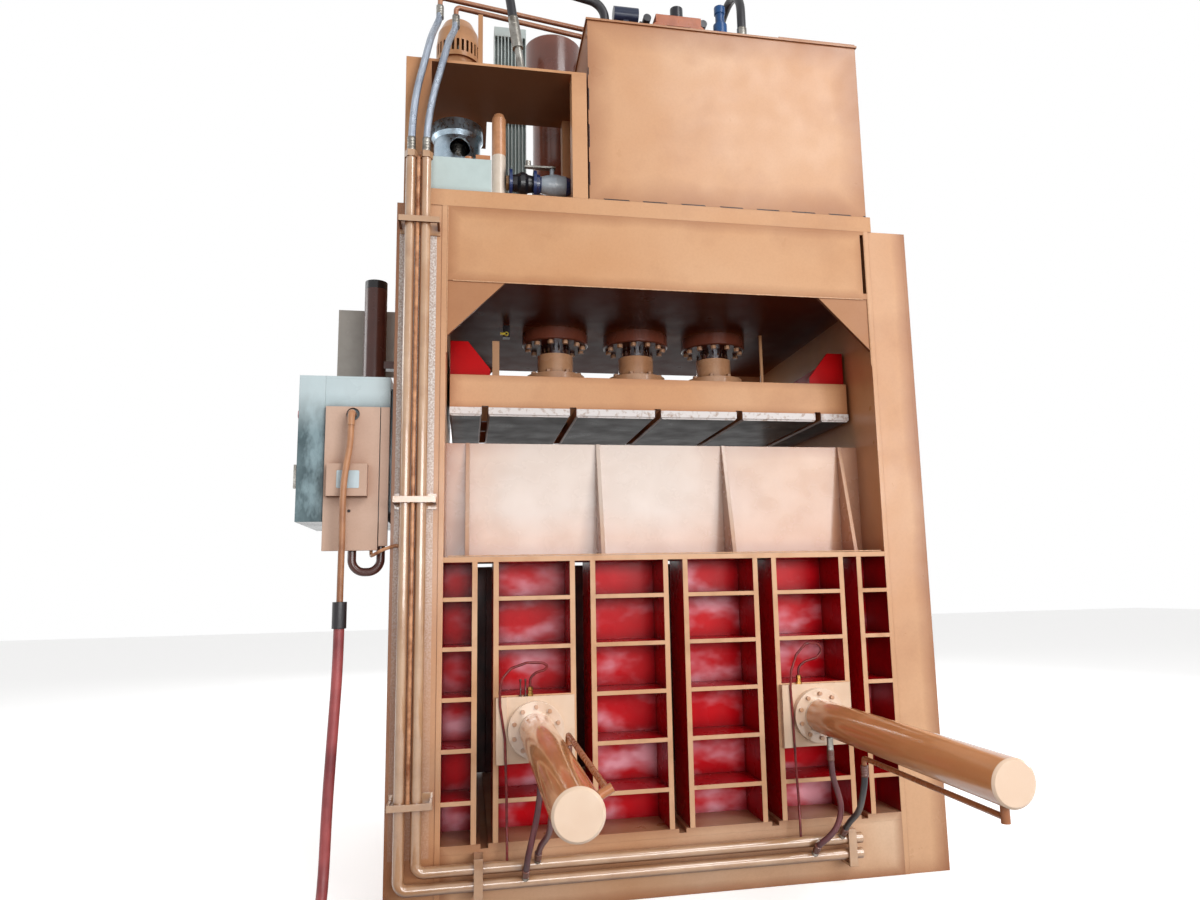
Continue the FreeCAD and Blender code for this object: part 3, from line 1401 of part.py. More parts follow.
def manifold():
    """Valve manifold on the tank with its solenoid valves."""
    low_y = front + d.manifold_front
    high_y = low_y + d.manifold_depth
    top = lid_top + d.manifold_height
    block = box((-d.manifold_left, low_y, lid_top), (d.manifold_right, high_y, top))
    valves = []
    step = (d.manifold_left + d.manifold_right) / 4
    for i in range(4):
        low_x = -d.manifold_left + step * i + step / 2 - d.valve_block / 2
        body = box((low_x, low_y + 20, top), (low_x + d.valve_block, high_y - 20, top + d.valve_block * 0.8))
        coil = rod((low_x + d.valve_block / 2, low_y + 20, top + d.valve_block * 0.4), "-y",
                   d.valve_block * 0.38, d.valve_block * 1.2)
        valves += [body, coil]
    cast_front = front + d.casting_front
    cast_back = cast_front + d.casting_depth
    cast_top = lid_top + d.casting_height
    foot = d.casting_foot
    outline = [(d.casting_left, lid_top), (d.casting_left + foot, lid_top),
               (d.casting_left + foot * 1.4, lid_top + foot * 0.6),
               (d.casting_right - foot * 1.4, lid_top + foot * 0.6), (d.casting_right - foot, lid_top),
               (d.casting_right, lid_top), (d.casting_right, lid_top + foot * 0.4),
               (d.casting_right - foot * 0.5, lid_top + foot * 0.8),
               (d.casting_right - foot * 0.5, cast_top),
               (d.casting_left + foot * 0.5, cast_top), (d.casting_left + foot * 0.5, lid_top + foot * 0.8),
               (d.casting_left, lid_top + foot * 0.4)]
    casting = profile("XZ", [outline], d.casting_depth, (0, cast_front, 0), name="Casting")
    cap_x = (d.casting_left + d.casting_right) / 2
    cap = rod((cap_x, (cast_front + cast_back) / 2, cast_top), "+z", d.casting_depth * 0.4, foot)
    canister_z = lid_top + d.canister_rise
    canister = rod((d.canister_left, link_y - d.canister_shift, canister_z), "+x", d.canister_radius,
                   d.canister_length)
    foot_x = d.canister_left + d.canister_length / 2
    stand = box((foot_x - 15, link_y - d.canister_shift - 20, lid_top),
                (foot_x + 15, link_y - d.canister_shift + 20, canister_z))
    valve_y = link_y - d.canister_shift
    needle = turned([(0, 0), (34, 0), (34, 12), (24, 20), (24, 70), (40, 84), (40, 150), (26, 160),
                     (26, 215), (32, 220), (32, 262), (0, 262)],
                    (d.needle_x, valve_y, lid_top), name="Needle")
    parts = [block] + valves + [casting, cap, fuse([canister, stand]), needle]
    node("manifold", group(parts))


manifold()

LINK_PIPES = {
    "upper": [(-1191, -576, 4685.2), (-1191, -576, 4741), (-372, -576, 4633),
              (-230, -576, 4586), (-90, -576, 4586)],
    "lower": [(-1103, -577, 4635.2), (-1103, -577, 4689), (-372, -577, 4583),
              (-230, -577, 4536), (-90, -577, 4536)],
}
links = [tube("link_" + key, route, d.link_radius * 2, 30.0) for key, route in LINK_PIPES.items()]
node("link_pipes", group(links))

TOP_HOSES = {
    "return": [(-790.5, -802.2, 4447.2), (-805.6, -797.2, 4558), (-826, -788, 4655), (-810, -776, 4725),
               (-758, -762, 4772), (-682, -748, 4788), (-598, -738, 4776), (-483, -731, 4741),
               (-363, -728, 4695), (-305, -727, 4650), (-282, -727, 4590), (-282, -727, 4512)],
    "right": [(508, -775, 4550), (508, -775, 4660), (514, -755, 4775), (514, -690, 4872),
              (508, -585, 4915), (503, -470, 4900), (501, -370, 4854), (500, -290, 4820), (500, -219, 4820)],
}
thick_hoses = [tube("top_" + key, route, d.top_hose_diameter) for key, route in TOP_HOSES.items()]
node("top_hoses", group(thick_hoses))
lean = FreeCAD.Rotation(Vector(0, 0, 1), Vector(-0.135, 0.045, 0.99))
stem = rod((-752, -815, deck_top), "+z", 20, 152)
sleeve = rod((-752, -815, deck_top), "+z", 29, 135)
ferrules = [fuse([hexagon((-753, -814.6, deck_top), "+z", 34, 26),
                  place(stem, (-752, -815, deck_top + 10), lean),
                  place(sleeve, (-772.1, -808.3, deck_top + 148.1), lean)]),
            rod((-282, -727, lid_top), "+z", 28, d.return_stub),
            rod((508, -775, lid_top), "+z", 27, d.over_stub),
            rod((d.ram_pitch, -d.head_radius, d.head_top - d.port_drop), "-y", 27, d.port_stub),
            rod((-692, -1075, 655), "+z", 15, 58),
            rod((682, -1075, 655), "+z", 15, 58)]
half = math.sqrt(0.5)
for nipple_x, pipe_z in ((-752, d.lower_pipe_z), (622, d.lower_pipe_z),
                         (-698, d.upper_pipe_z), (764, d.upper_pipe_z)):
    nipple = rod((nipple_x, pipe_y, pipe_z), "+z", 16, 20)
    seat = (nipple_x, pipe_y - d.riser_radius * half, pipe_z + d.riser_radius * half)
    ferrules.append(place(nipple, seat, FreeCAD.Rotation(Vector(0, 0, 1), Vector(0, -1, 1))))
node("hose_fittings", group(ferrules))


# ---- control side -------------------------------------------------------------------
LOOP = [(-1558, -775, 1773.7), (-1558, -775, 1536), (-1426, -775, 1536), (-1426, -775, 1773.7)]


def control_side():
    """Control cabinet and the boxes beside the left column."""
    low_y = front + d.cabinet_front
    high_y = low_y + d.cabinet_depth
    wall = d.cabinet_wall
    left = -d.cabinet_left + d.cabinet_door
    right = -d.cabinet_right
    case = [box((right - wall, low_y, d.cabinet_bottom), (right, high_y, d.cabinet_top), "Back")]
    for low_z in (d.cabinet_bottom, d.cabinet_top - wall):
        case.append(box((left, low_y, low_z), (right - wall, high_y, low_z + wall), "Floor"))
    for side_y in (low_y, high_y - wall):
        case.append(box((left, side_y, d.cabinet_bottom + wall),
                        (right - wall, side_y + wall, d.cabinet_top - wall), "Side"))
    depth = d.cabinet_door - d.running_gap
    door = profile("YZ", [rectangle(low_y, d.cabinet_bottom, high_y, d.cabinet_top)], depth,
                   (-d.cabinet_left, 0, 0), name="Lid")
    inside = rectangle(low_y + wall, d.cabinet_bottom + wall, high_y - wall, d.cabinet_top - wall)
    pocket(door, "YZ", [inside],
           depth - wall, level=wall, backwards=True)
    pin_y = high_y + d.lid_eye
    leaves = []
    eyes = []
    for middle in (d.cabinet_bottom + 120, d.cabinet_top - 120):
        eye = rod((left, pin_y, middle - 25), "+z", d.lid_eye, 50)
        leaf = box((left - 60, high_y, middle - 25), (left, high_y + 4, middle + 25))
        bore = rod((left, pin_y, middle - 30), "+z", d.lid_pin + d.running_gap, 60)
        eyes.append(cut(fuse([eye, leaf]), [bore]))
        pin = rod((left, pin_y, middle - 45), "+z", d.lid_pin, 90)
        blocks = [pin]
        for low_z in (middle - 45, middle + 25 + d.running_gap):
            blocks.append(rod((left, pin_y, low_z), "+z", d.lid_eye, 20 - d.running_gap))
            blocks.append(box((left, high_y, low_z), (left + 50, high_y + 4, low_z + 20 - d.running_gap)))
        leaves.append(fuse(blocks))
    node("cabinet_door", group([door] + eyes))
    bracket = box((-d.cabinet_right, low_y + wall * 4, d.cabinet_bottom + wall * 4),
                  (-d.half_width, high_y - wall * 4, d.cabinet_top - wall * 4))
    node("cabinet", group(case + [bracket] + leaves))
    box_front = front + d.side_box_front
    lid = profile("XZ", [rectangle(-d.side_box_left, d.side_box_bottom, -d.side_box_right, d.side_box_top)],
                  low_y - box_front, (0, box_front, 0),
                  [(-1563, 2290, 31)], "SideBox")
    strip = box((-d.strip_left, box_front, d.side_box_bottom + 20),
                (-d.cabinet_right, low_y, d.side_box_top))
    junction = box((-d.junction_left, box_front - d.junction_depth, d.junction_bottom),
                   (-d.junction_right, box_front, d.junction_top))
    node("side_box", group([lid, junction, strip]))
    tube_y = front + d.tube_y
    cap = 21
    case = rod((-d.tube_x, tube_y, d.tube_bottom), "+z", d.tube_radius, d.tube_top - d.tube_bottom - 45)
    lid = rod((-d.tube_x, tube_y, d.tube_top - 45), "+z", d.tube_radius, 45 + cap)
    arm = box((-d.tube_x, tube_y - 30, d.tube_bottom + 60),
              (-d.half_width, tube_y + 30, d.tube_bottom + 100))
    board_y = front + 600
    board = box((-d.board_left, board_y, d.board_bottom), (-d.half_width, board_y + 12, d.board_top))
    node("side_fittings", group([fuse([case, lid, arm]), board, tube("loop", LOOP, d.loop_diameter, 64.0)]))


control_side()


def cabinet_fittings():
    """Turning handle and stop button on the cabinet's door."""
    face = -d.cabinet_left
    handle_y = front + d.cabinet_front + 70
    middle = d.handle_z
    spindle = rod((face, handle_y, middle), "-x", 14, 12)
    grip = box((face - 24, handle_y - 12, middle - 90), (face - 12, handle_y + 12, middle + 24))
    node("cabinet_handle", fuse([spindle, grip]))
    stop_y = front + d.cabinet_front + 220
    stop_z = d.cabinet_top - 150
    bore = rod((face + 1, stop_y, stop_z), "-x", 14 + d.running_gap, 12)
    node("stop_collar", cut(rod((face, stop_y, stop_z), "-x", 24, 10), [bore]))
    node("stop_button", turned([(0, 0), (14, 0), (14, 19), (26, 25), (26, 31), (20, 37), (0, 37)],
                               (face - 5, stop_y, stop_z), "-x", "Button"))


cabinet_fittings()

# ---- supply cable -------------------------------------------------------------------
LEAD = [(-1563, -895, 2225), (-1563, -895, 2130), (-1580, -912, 2020), (-1588, -922, 1880),
        (-1586, -915, 1700), (-1590, -897, 1510), (-1590, -897, 1400)]
DROP = [(-1590, -897, 1280), (-1590, -897, 1110), (-1604, -903, 800), (-1617, -908, 500),
        (-1621, -912, 222), (-1621, -985, 96), (-1622, -1110, 24), (-1622, -1249.262, 24)]
gland = tube("elbow", [(-1563, -815.3, 2290), (-1563, -895, 2290), (-1563, -895, 2225)], 34, 48.0)
node("supply_lead", tube("lead", LEAD, d.lead_diameter))
node("cable_fittings", group([gland, rod((-1590, -897, 1280), "+z", 32, 120)]))
node("supply_conduit", tube("drop", DROP, d.conduit_diameter))

# The spare length lies in a round coil on the floor, each turn over the one before.
TURN_STEPS = 12
COIL_STEPS = 27
centre_x = -1358
centre_y = -1320
step_angle = math.radians(360 / TURN_STEPS)
circumradius = number(d.coil_radius) / math.cos(step_angle / 2)
run = 2 * circumradius * math.sin(step_angle / 2)
COIL = [(centre_x - number(d.coil_radius), centre_y + run / 2, 24)]
for i in range(COIL_STEPS):
    angle = math.pi + step_angle * (i + 0.5)
    COIL.append((centre_x + circumradius * math.cos(angle), centre_y + circumradius * math.sin(angle),
                 24 + number(d.coil_rise) * i / TURN_STEPS))
last = COIL[-1]
COIL += [(last[0] + run, last[1], last[2] + 4), (last[0] + run * 2, last[1] + 4, last[2] - 16),
         (last[0] + run * 3, last[1] + 2, 82), (last[0] + run * 4, last[1], 36),
         (last[0] + run * 5, last[1], 36)]
coil = tube("coil", COIL, d.conduit_diameter)
node("supply_coil", coil)
wire, bend = path(COIL)
points = wire.discretize(Distance=8.0)
least = 1e9
for i, point in enumerate(points):
    for other in points[i + 60:]:
        least = min(least, point.distanceToPoint(other))
print("coil: least distance between turns %.1f, gap %.1f" % (least, least - number(d.conduit_diameter)))
plug_x = COIL[-1][0]
plug_y = COIL[-1][1]
node("supply_plug", turned([(0, 0), (26, 0), (30, 20), (d.plug_radius - 6, 60), (d.plug_radius - 6, 95),
                            (d.plug_radius, 97), (d.plug_radius, 115), (d.plug_radius - 4, 118),
                            (d.plug_radius - 4, d.plug_length), (0, d.plug_length)],
                           (plug_x, plug_y, 36), "+x", "Plug"))

# ---- checks and files ---------------------------------------------------------------
doc.recompute()
faults = []
for item in doc.Objects:
    if "Invalid" in item.State or "Error" in item.State:
        faults.append("%s %s %s" % (item.Name, item.Label, item.State))
for name, item in nodes.items():
    shape = item.Shape
    if shape.isNull() or not shape.isValid() or shape.Volume <= 0:
        faults.append("%s has no sound shape" % name)
if faults:
    raise RuntimeError("; ".join(faults))
os.makedirs("parts", exist_ok=True)
for name, item in nodes.items():
    item.Shape.exportStep("parts/%s.step" % name)
print("%d sub-parts, %d solids" % (len(nodes), sum(len(item.Shape.Solids) for item in nodes.values())))
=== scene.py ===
"""Recycling baler: colours, cords, small pieces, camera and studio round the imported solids.

Lengths are in metres, in the frame of the CAD model; the photographed side faces -Y.
"""
import math
import random

import bmesh
import bpy
from mathutils import Matrix, Vector


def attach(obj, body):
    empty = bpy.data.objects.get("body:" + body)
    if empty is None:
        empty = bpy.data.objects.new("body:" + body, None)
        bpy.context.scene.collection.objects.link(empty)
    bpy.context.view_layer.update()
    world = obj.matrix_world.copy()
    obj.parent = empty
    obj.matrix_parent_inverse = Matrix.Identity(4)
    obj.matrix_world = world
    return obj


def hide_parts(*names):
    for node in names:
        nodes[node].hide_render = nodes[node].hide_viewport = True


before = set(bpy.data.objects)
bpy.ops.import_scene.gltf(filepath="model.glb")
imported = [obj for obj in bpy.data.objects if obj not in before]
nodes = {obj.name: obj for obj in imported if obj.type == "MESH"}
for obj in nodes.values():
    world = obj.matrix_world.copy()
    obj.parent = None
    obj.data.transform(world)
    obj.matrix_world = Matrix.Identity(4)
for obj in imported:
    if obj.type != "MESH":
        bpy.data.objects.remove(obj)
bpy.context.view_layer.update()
random.seed(7)


# camera: fitted to the photograph; focal length and centre in its pixels, angles in radians
PHOTO_WIDTH, PHOTO_HEIGHT = 1200, 900
FOCAL = 843.85
CENTRE_X, CENTRE_Y = 630.31, 460.60
SENSOR = 36.0
YAW, PITCH, ROLL = 0.19277, 0.14931, -0.02121
EYE = Vector((-1.0208, -4.992, 1.4371))
look = Vector((math.sin(YAW) * math.cos(PITCH), math.cos(YAW) * math.cos(PITCH), math.sin(PITCH)))
level = Vector((math.cos(YAW), -math.sin(YAW), 0.0))
above = level.cross(look)
across = level * math.cos(ROLL) + above * math.sin(ROLL)
upward = above * math.cos(ROLL) - level * math.sin(ROLL)
camera_data = bpy.data.cameras.new("camera")
camera_data.sensor_fit = "HORIZONTAL"
camera_data.sensor_width = SENSOR
camera_data.lens = FOCAL / PHOTO_WIDTH * SENSOR
camera_data.shift_x = (PHOTO_WIDTH / 2 - CENTRE_X) / PHOTO_WIDTH
camera_data.shift_y = (CENTRE_Y - PHOTO_HEIGHT / 2) / PHOTO_WIDTH
camera_data.clip_start = 0.05
camera_data.clip_end = 200.0
camera = bpy.data.objects.new("camera", camera_data)
turn = Matrix((across, upward, -look)).transposed().to_4x4()
camera.matrix_world = Matrix.Translation(EYE) @ turn
bpy.context.scene.collection.objects.link(camera)
bpy.context.scene.camera = camera
bpy.context.scene.view_settings.view_transform = "Standard"


# colours
def srgb(red, green, blue):
    """A screen colour, 0 to 255 a channel, as the linear colour that Blender's sockets take."""
    out = []
    for value in (red, green, blue):
        value = value / 255
        out.append(value / 12.92 if value <= 0.04045 else ((value + 0.055) / 1.055) ** 2.4)
    return tuple(out) + (1.0,)


TAN = srgb(208, 153, 109)
TAN_PALE = srgb(218, 170, 130)
TAN_SHADE = srgb(148, 88, 52)
# the brown that undersides take as painted shade
UNDERSIDE_SHADE = srgb(78, 34, 20)
BROWN_DARK = srgb(52, 22, 15)
RED = srgb(208, 4, 24)
RED_LIGHT = srgb(226, 10, 26)
# the dark red of painted shade in the lattice's cells
RED_SHADE = srgb(112, 0, 8)
GLARE_PINK = srgb(255, 186, 200)
# painted highlight on the platen's lip
LIP_HIGHLIGHT = srgb(226, 220, 218)
# painted reflection on the upper wall
WALL_GLARE_TONE = srgb(202, 186, 174)
# painted shade in the gaps of the tank's seams
SEAM_SHADE = srgb(40, 16, 10)
CREAM = srgb(222, 190, 160)
CREAM_PALE = srgb(230, 202, 176)
SHEATH_TAN = (srgb(196, 140, 100), srgb(130, 78, 50))
FLANGE_BLUE = (srgb(34, 54, 104), srgb(14, 24, 52))
BOARD_GREY = (srgb(176, 170, 162), srgb(150, 142, 134))

# zones of the solids with a look of their own, some of them painted light: reflection behind
# the risers and on the cabinet's edge, highlight on the platen's lip, shade in the tank's seams and
# the door's channels. Ranges along the axes, in metres
LATTICE_CELLS = (("X", -1.14, 1.14), ("Y", -0.8715, -0.598), ("Z", 0.2985, 1.6))
BEHIND_RISERS = (("X", -1.36, -1.18), ("Y", -0.8755, -0.87), ("Z", 0.25, 3.3))
PLATEN_LIP = (("Y", -0.59, -0.5745), ("Z", 2.34, 2.3925))
TANK_BOTTOM_SEAM = (("Z", 3.45, 3.4585), ("Y", -0.88, -0.87))
TANK_LEFT_SEAM = (("X", -0.4045, -0.3985), ("Y", -0.88, -0.87), ("Z", 3.45, 4.2))
DOOR_CHANNELS = (("Y", 0.5, 0.6565),)
BARREL_FLANGE = (("Y", -0.955, -0.8),)
BARREL_CAP = (("Y", -2.6, -2.4535),)
CABINET_GLARE_EDGE = (("Y", -0.83, -0.8),)
SUCTION_PIPE = (("X", -1.0, -0.828), ("Z", 3.78, 4.2))

# front panels with painted shade that darkens them to their borders: two corners (X, Z),
# border's width, its strength
BED_PANEL = ((-1.125, 0.0), (1.125, 0.3), 0.05, 0.6)
TANK_PANEL = ((-0.404, 3.452), (1.15, 4.478), 0.15, 0.55)
COLUMN_PANEL = ((-1.375, -0.1), (1.375, 3.45), 0.085, 0.75)
BEAM_PANEL = ((-1.125, 2.97), (1.125, 3.365), 0.06, 0.5)
WALL_PANEL = ((-1.125, 1.6), (1.125, 2.195), 0.08, 0.7)
PLATEN_PANEL = ((-1.115, 2.392), (1.115, 2.567), 0.04, 0.35)


# materials
class Nodes:
    """A material's node tree under construction; each method adds a step and returns its value.

    Scales of noise are per metre, and the colours it mixes are linear.
    """

    def __init__(self, name):
        self.material = bpy.data.materials.new(name)
        self.material.use_nodes = True
        self.tree = self.material.node_tree
        self.shader = self.tree.nodes["Principled BSDF"]
        self.coords = self.tree.nodes.new("ShaderNodeTexCoord").outputs["Object"]

    def new(self, kind, **values):
        node = self.tree.nodes.new(kind)
        for key, value in values.items():
            setattr(node, key, value)
        return node

    def join(self, source, target):
        self.tree.links.new(source, target)

    def noise(self, scale, detail=3.0, rough=0.5, stretch=None):
        node = self.new("ShaderNodeTexNoise")
        node.inputs["Scale"].default_value = scale
        node.inputs["Detail"].default_value = detail
        node.inputs["Roughness"].default_value = rough
        source = self.coords
        if stretch:
            mapping = self.new("ShaderNodeMapping")
            mapping.inputs["Scale"].default_value = stretch
            self.join(self.coords, mapping.inputs["Vector"])
            source = mapping.outputs["Vector"]
        self.join(source, node.inputs["Vector"])
        return node.outputs["Fac"]

    def ramp(self, value, low, high, start=0.0, end=1.0):
        """A value between low and high, mapped to start to end and held there outside."""
        node = self.new("ShaderNodeMapRange")
        node.inputs["From Min"].default_value = low
        node.inputs["From Max"].default_value = high
        node.inputs["To Min"].default_value = start
        node.inputs["To Max"].default_value = end
        self.join(value, node.inputs["Value"])
        return node.outputs["Result"]

    def mix(self, factor, first, second):
        """A colour between two; the sockets are numbered because the colours' names repeat."""
        node = self.new("ShaderNodeMix", data_type="RGBA")
        self.join(factor, node.inputs[0])
        for slot, value in ((6, first), (7, second)):
            if isinstance(value, tuple):
                node.inputs[slot].default_value = value
            else:
                self.join(value, node.inputs[slot])
        return node.outputs[2]

    def maths(self, operation, first, second=0.0):
        node = self.new("ShaderNodeMath", operation=operation)
        for slot, value in ((0, first), (1, second)):
            if isinstance(value, (int, float)):
                node.inputs[slot].default_value = value
            else:
                self.join(value, node.inputs[slot])
        return node.outputs[0]

    def axis(self, which):
        node = self.new("ShaderNodeSeparateXYZ")
        self.join(self.coords, node.inputs[0])
        return node.outputs[which]

    def rim(self, low, high, width, strength):
        """The given strength at the uneven border of a panel between two corners, 0 well inside."""
        near = None
        for which, start, end in (("X", low[0], high[0]), ("Z", low[1], high[1])):
            value = self.axis(which)
            for edge, sign in ((start, 1.0), (end, -1.0)):
                gap = self.maths("MULTIPLY", self.maths("SUBTRACT", value, edge), sign)
                near = gap if near is None else self.maths("MINIMUM", near, gap)
        rough = self.maths("MULTIPLY", self.noise(3.2, 3.0), width * 0.9)
        near = self.maths("ADD", near, self.maths("SUBTRACT", rough, width * 0.45))
        return self.ramp(near, 0.0, width, strength, 0.0)

    def within(self, *limits):
        """1 inside the given ranges, such as ("X", -1.0, 1.0), and 0 outside."""
        value = None
        for which, low, high in limits:
            place = self.axis(which)
            inside = self.maths("MULTIPLY", self.maths("GREATER_THAN", place, low),
                                self.maths("LESS_THAN", place, high))
            value = inside if value is None else self.maths("MULTIPLY", value, inside)
        return value

    def facing(self, which):
        """How far the surface faces along an axis, from -1 to 1."""
        split = self.new("ShaderNodeSeparateXYZ")
        self.join(self.new("ShaderNodeNewGeometry").outputs["Normal"], split.inputs[0])
        return split.outputs[which]

    def rounded(self, radius):
        node = self.new("ShaderNodeBevel", samples=4)
        node.inputs["Radius"].default_value = radius
        return node.outputs["Normal"]

    def corners(self, reach):
        """1 in the open, less in corners and narrow gaps up to the given reach; the materials paint
        shade with it.
        """
        node = self.new("ShaderNodeAmbientOcclusion", samples=4)
        node.inputs["Distance"].default_value = reach
        return node.outputs["AO"]

    def bump(self, height, distance, strength, normal=None):
        node = self.new("ShaderNodeBump")
        node.inputs["Strength"].default_value = strength
        node.inputs["Distance"].default_value = distance
        self.join(height, node.inputs["Height"])
        if normal is not None:
            self.join(normal, node.inputs["Normal"])
        return node.outputs["Normal"]


def finish_shader(n, colour, rough, metal, coat, coat_rough, normal, shine=0.5):
    n.join(colour, n.shader.inputs["Base Color"])
    n.join(rough, n.shader.inputs["Roughness"])
    n.shader.inputs["Metallic"].default_value = metal
    n.shader.inputs["Specular IOR Level"].default_value = shine
    n.shader.inputs["Coat Weight"].default_value = coat
    n.shader.inputs["Coat Roughness"].default_value = coat_rough
    n.join(normal, n.shader.inputs["Normal"])


ORANGE_PEEL = 240.0     # scale of the finest ripple in sprayed paint


def paint(name, colour, shade, pale, rough=0.34, coat=0.08, coat_rough=0.1, reach=0.1, patch=1.1,
          peel=0.0003, edge=0.004, shine=0.25, wave=0.0, panel=None, under=0.8, fleck=0.06,
          extra=None, below=UNDERSIDE_SHADE):
    """Sprayed gloss paint: cloudy colour, orange peel, and painted shade: brown in the corners,
    underneath and towards a panel's borders.

    patch is the clouds' scale, wave the height of slow dents, under how far undersides take the
    colour below as painted shade, and extra a step that adds what only this part has.
    """
    n = Nodes(name)
    cloud = n.ramp(n.noise(patch, 3.0, 0.5), 0.38, 0.66)
    base = n.mix(cloud, colour, pale)
    blot = n.ramp(n.noise(patch * 2.3, 4.0, 0.55), 0.5, 0.76, 0.0, 0.26)
    base = n.mix(blot, base, shade)
    fine = n.ramp(n.noise(90.0, 2.0), 0.4, 0.7, 0.0, fleck)
    base = n.mix(fine, base, shade)
    # painted shade: a front panel darkens towards its borders
    if panel:
        base = n.mix(n.rim(*panel), base, shade)
    facing = n.facing("Z")
    # painted shade: undersides take the colour below
    if under:
        base = n.mix(n.ramp(facing, -0.3, -0.9, 0.0, under), base, below)
    # painted shade in the corners and narrow gaps
    corner_shade = n.ramp(n.corners(reach), 0.3, 0.95, 0.85, 0.0)
    base = n.mix(corner_shade, base, shade)
    if extra:
        base = extra(n, base)
    gloss = n.ramp(n.noise(7.0, 4.0), 0.3, 0.7, rough - 0.07, rough + 0.07)
    normal = n.rounded(edge)
    if wave:
        normal = n.bump(n.noise(2.6, 2.0, 0.4), wave, 0.6, normal)
    normal = n.bump(n.noise(ORANGE_PEEL, 2.0), peel, 0.5, normal)
    finish_shader(n, base, gloss, 0.0, coat, coat_rough, normal, shine)
    if under:
        n.join(n.ramp(facing, -0.3, -0.9, shine, 0.02), n.shader.inputs["Specular IOR Level"])
        n.join(n.ramp(facing, -0.3, -0.9, coat, 0.0), n.shader.inputs["Coat Weight"])
    return n.material


def metal(name, colour, shade, rough=0.25, brushed=None, bump=0.0002, scale=120.0, edge=0.002):
    """Bare metal with a fine grain, which brushed stretches along an axis."""
    n = Nodes(name)
    cloud = n.ramp(n.noise(14.0, 4.0), 0.3, 0.7)
    base = n.mix(cloud, colour, shade)
    grain = n.noise(scale, 3.0, 0.6, brushed)
    base = n.mix(n.ramp(grain, 0.4, 0.7, 0.0, 0.35), base, shade)
    gloss = n.ramp(grain, 0.3, 0.7, rough * 0.7, rough * 1.4)
    finish_shader(n, base, gloss, 1.0, 0.0, 0.1, n.bump(grain, bump, 0.5, n.rounded(edge)))
    return n.material


def plastic(name, colour, shade, rough=0.42, coat=0.0, grain=180.0, bump=0.0002, edge=0.003):
    """Plastic or rubber with a fine grain, and painted shade in the corners."""
    n = Nodes(name)
    base = n.mix(n.ramp(n.noise(6.0, 4.0), 0.35, 0.7), colour, shade)
    # painted shade in the corners
    base = n.mix(n.ramp(n.corners(0.05), 0.4, 0.95, 0.6, 0.0), base, shade)
    fine = n.noise(grain, 3.0, 0.6)
    gloss = n.ramp(fine, 0.3, 0.7, rough - 0.06, rough + 0.08)
    finish_shader(n, base, gloss, 0.0, coat, 0.15, n.bump(fine, bump, 0.6, n.rounded(edge)))
    return n.material


# extras: steps that paint() adds for one part
def red_inside(n, base):
    """The columns and the bed are red where they bound the cells of the lattice wall, with painted
    shade in their corners.
    """
    cloud = n.ramp(n.noise(3.4, 5.0, 0.6), 0.38, 0.66)
    tone = n.mix(cloud, srgb(120, 0, 10), srgb(168, 2, 16))
    # painted shade in the corners
    tone = n.mix(n.ramp(n.corners(0.07), 0.3, 0.9, 0.8, 0.0), tone, RED_SHADE)
    return n.mix(n.within(*LATTICE_CELLS), base, tone)


def red_cells_and_painted_glare(n, base):
    """Red inside the lattice, and a painted reflection on the face behind the risers: pale speckled
    glare, stronger higher up.
    """
    base = red_inside(n, base)
    # painted reflection: pale speckled glare, stronger higher up
    glare_speckle = n.ramp(n.noise(110.0, 3.0, 0.7), 0.42, 0.6, 0.0, 1.0)
    tone = n.mix(glare_speckle, srgb(186, 166, 154), srgb(234, 230, 226))
    face = n.within(*BEHIND_RISERS)
    fade = n.ramp(n.axis("Z"), 0.9, 2.4, 0.15, 0.95)
    return n.mix(n.maths("MULTIPLY", face, fade), base, tone)


def lip_highlight(n, base):
    """A painted highlight along the platen's lower front edge: near white, with brown specks."""
    lip = n.within(*PLATEN_LIP)
    specks = n.ramp(n.noise(34.0, 4.0, 0.6), 0.52, 0.72)
    return n.mix(lip, base, n.mix(specks, LIP_HIGHLIGHT, srgb(168, 140, 122)))


def tank_seam_shade(n, base):
    """Painted shade in the gaps of a stitched seam along the bottom and the left edge of the tank's
    front.
    """
    along = n.maths("ADD", n.axis("X"), n.axis("Z"))
    beat = n.maths("SINE", n.maths("MULTIPLY", along, 30.0))
    dash = n.maths("GREATER_THAN", n.maths("ADD", beat, n.noise(9.0)), 0.1)
    bottom = n.within(*TANK_BOTTOM_SEAM)
    left = n.within(*TANK_LEFT_SEAM)
    seam = n.maths("MULTIPLY", n.maths("MAXIMUM", bottom, left), dash)
    return n.mix(seam, base, SEAM_SHADE)


def door_channel_shade(n, base):
    """Painted shade: the far door's channels are dark inside."""
    tone = n.mix(n.ramp(n.noise(8.0, 4.0), 0.4, 0.65), srgb(54, 20, 16), srgb(84, 34, 26))
    return n.mix(n.within(*DOOR_CHANNELS), base, tone)


def painted_wall_glare(n, base):
    """A painted reflection on the upper wall: pale glare in the middle, fading to warmer tan
    towards its ends and edges.
    """
    drift = n.maths("MULTIPLY", n.noise(2.0, 3.0), 0.5)
    right = n.ramp(n.maths("ADD", n.axis("X"), drift), 0.3, 0.95, 1.0, 0.15)
    left = n.ramp(n.maths("ADD", n.axis("X"), drift), -1.0, -0.5)
    low = n.ramp(n.maths("ADD", n.axis("Z"), n.maths("MULTIPLY", drift, 0.4)), 1.68, 1.95)
    wall_glare = n.maths("MULTIPLY", n.maths("MULTIPLY", left, right), n.maths("MAXIMUM", low, 0.45))
    return n.mix(n.maths("MULTIPLY", wall_glare, 0.85), base, WALL_GLARE_TONE)


def cream_flange(n, base):
    """The barrel's flange and its end cap are paler than its tube."""
    tone = n.mix(n.ramp(n.noise(6.0, 3.0), 0.4, 0.65), srgb(222, 190, 162), CREAM_PALE)
    ends = n.maths("MAXIMUM", n.within(*BARREL_FLANGE), n.within(*BARREL_CAP))
    return n.mix(ends, base, tone)


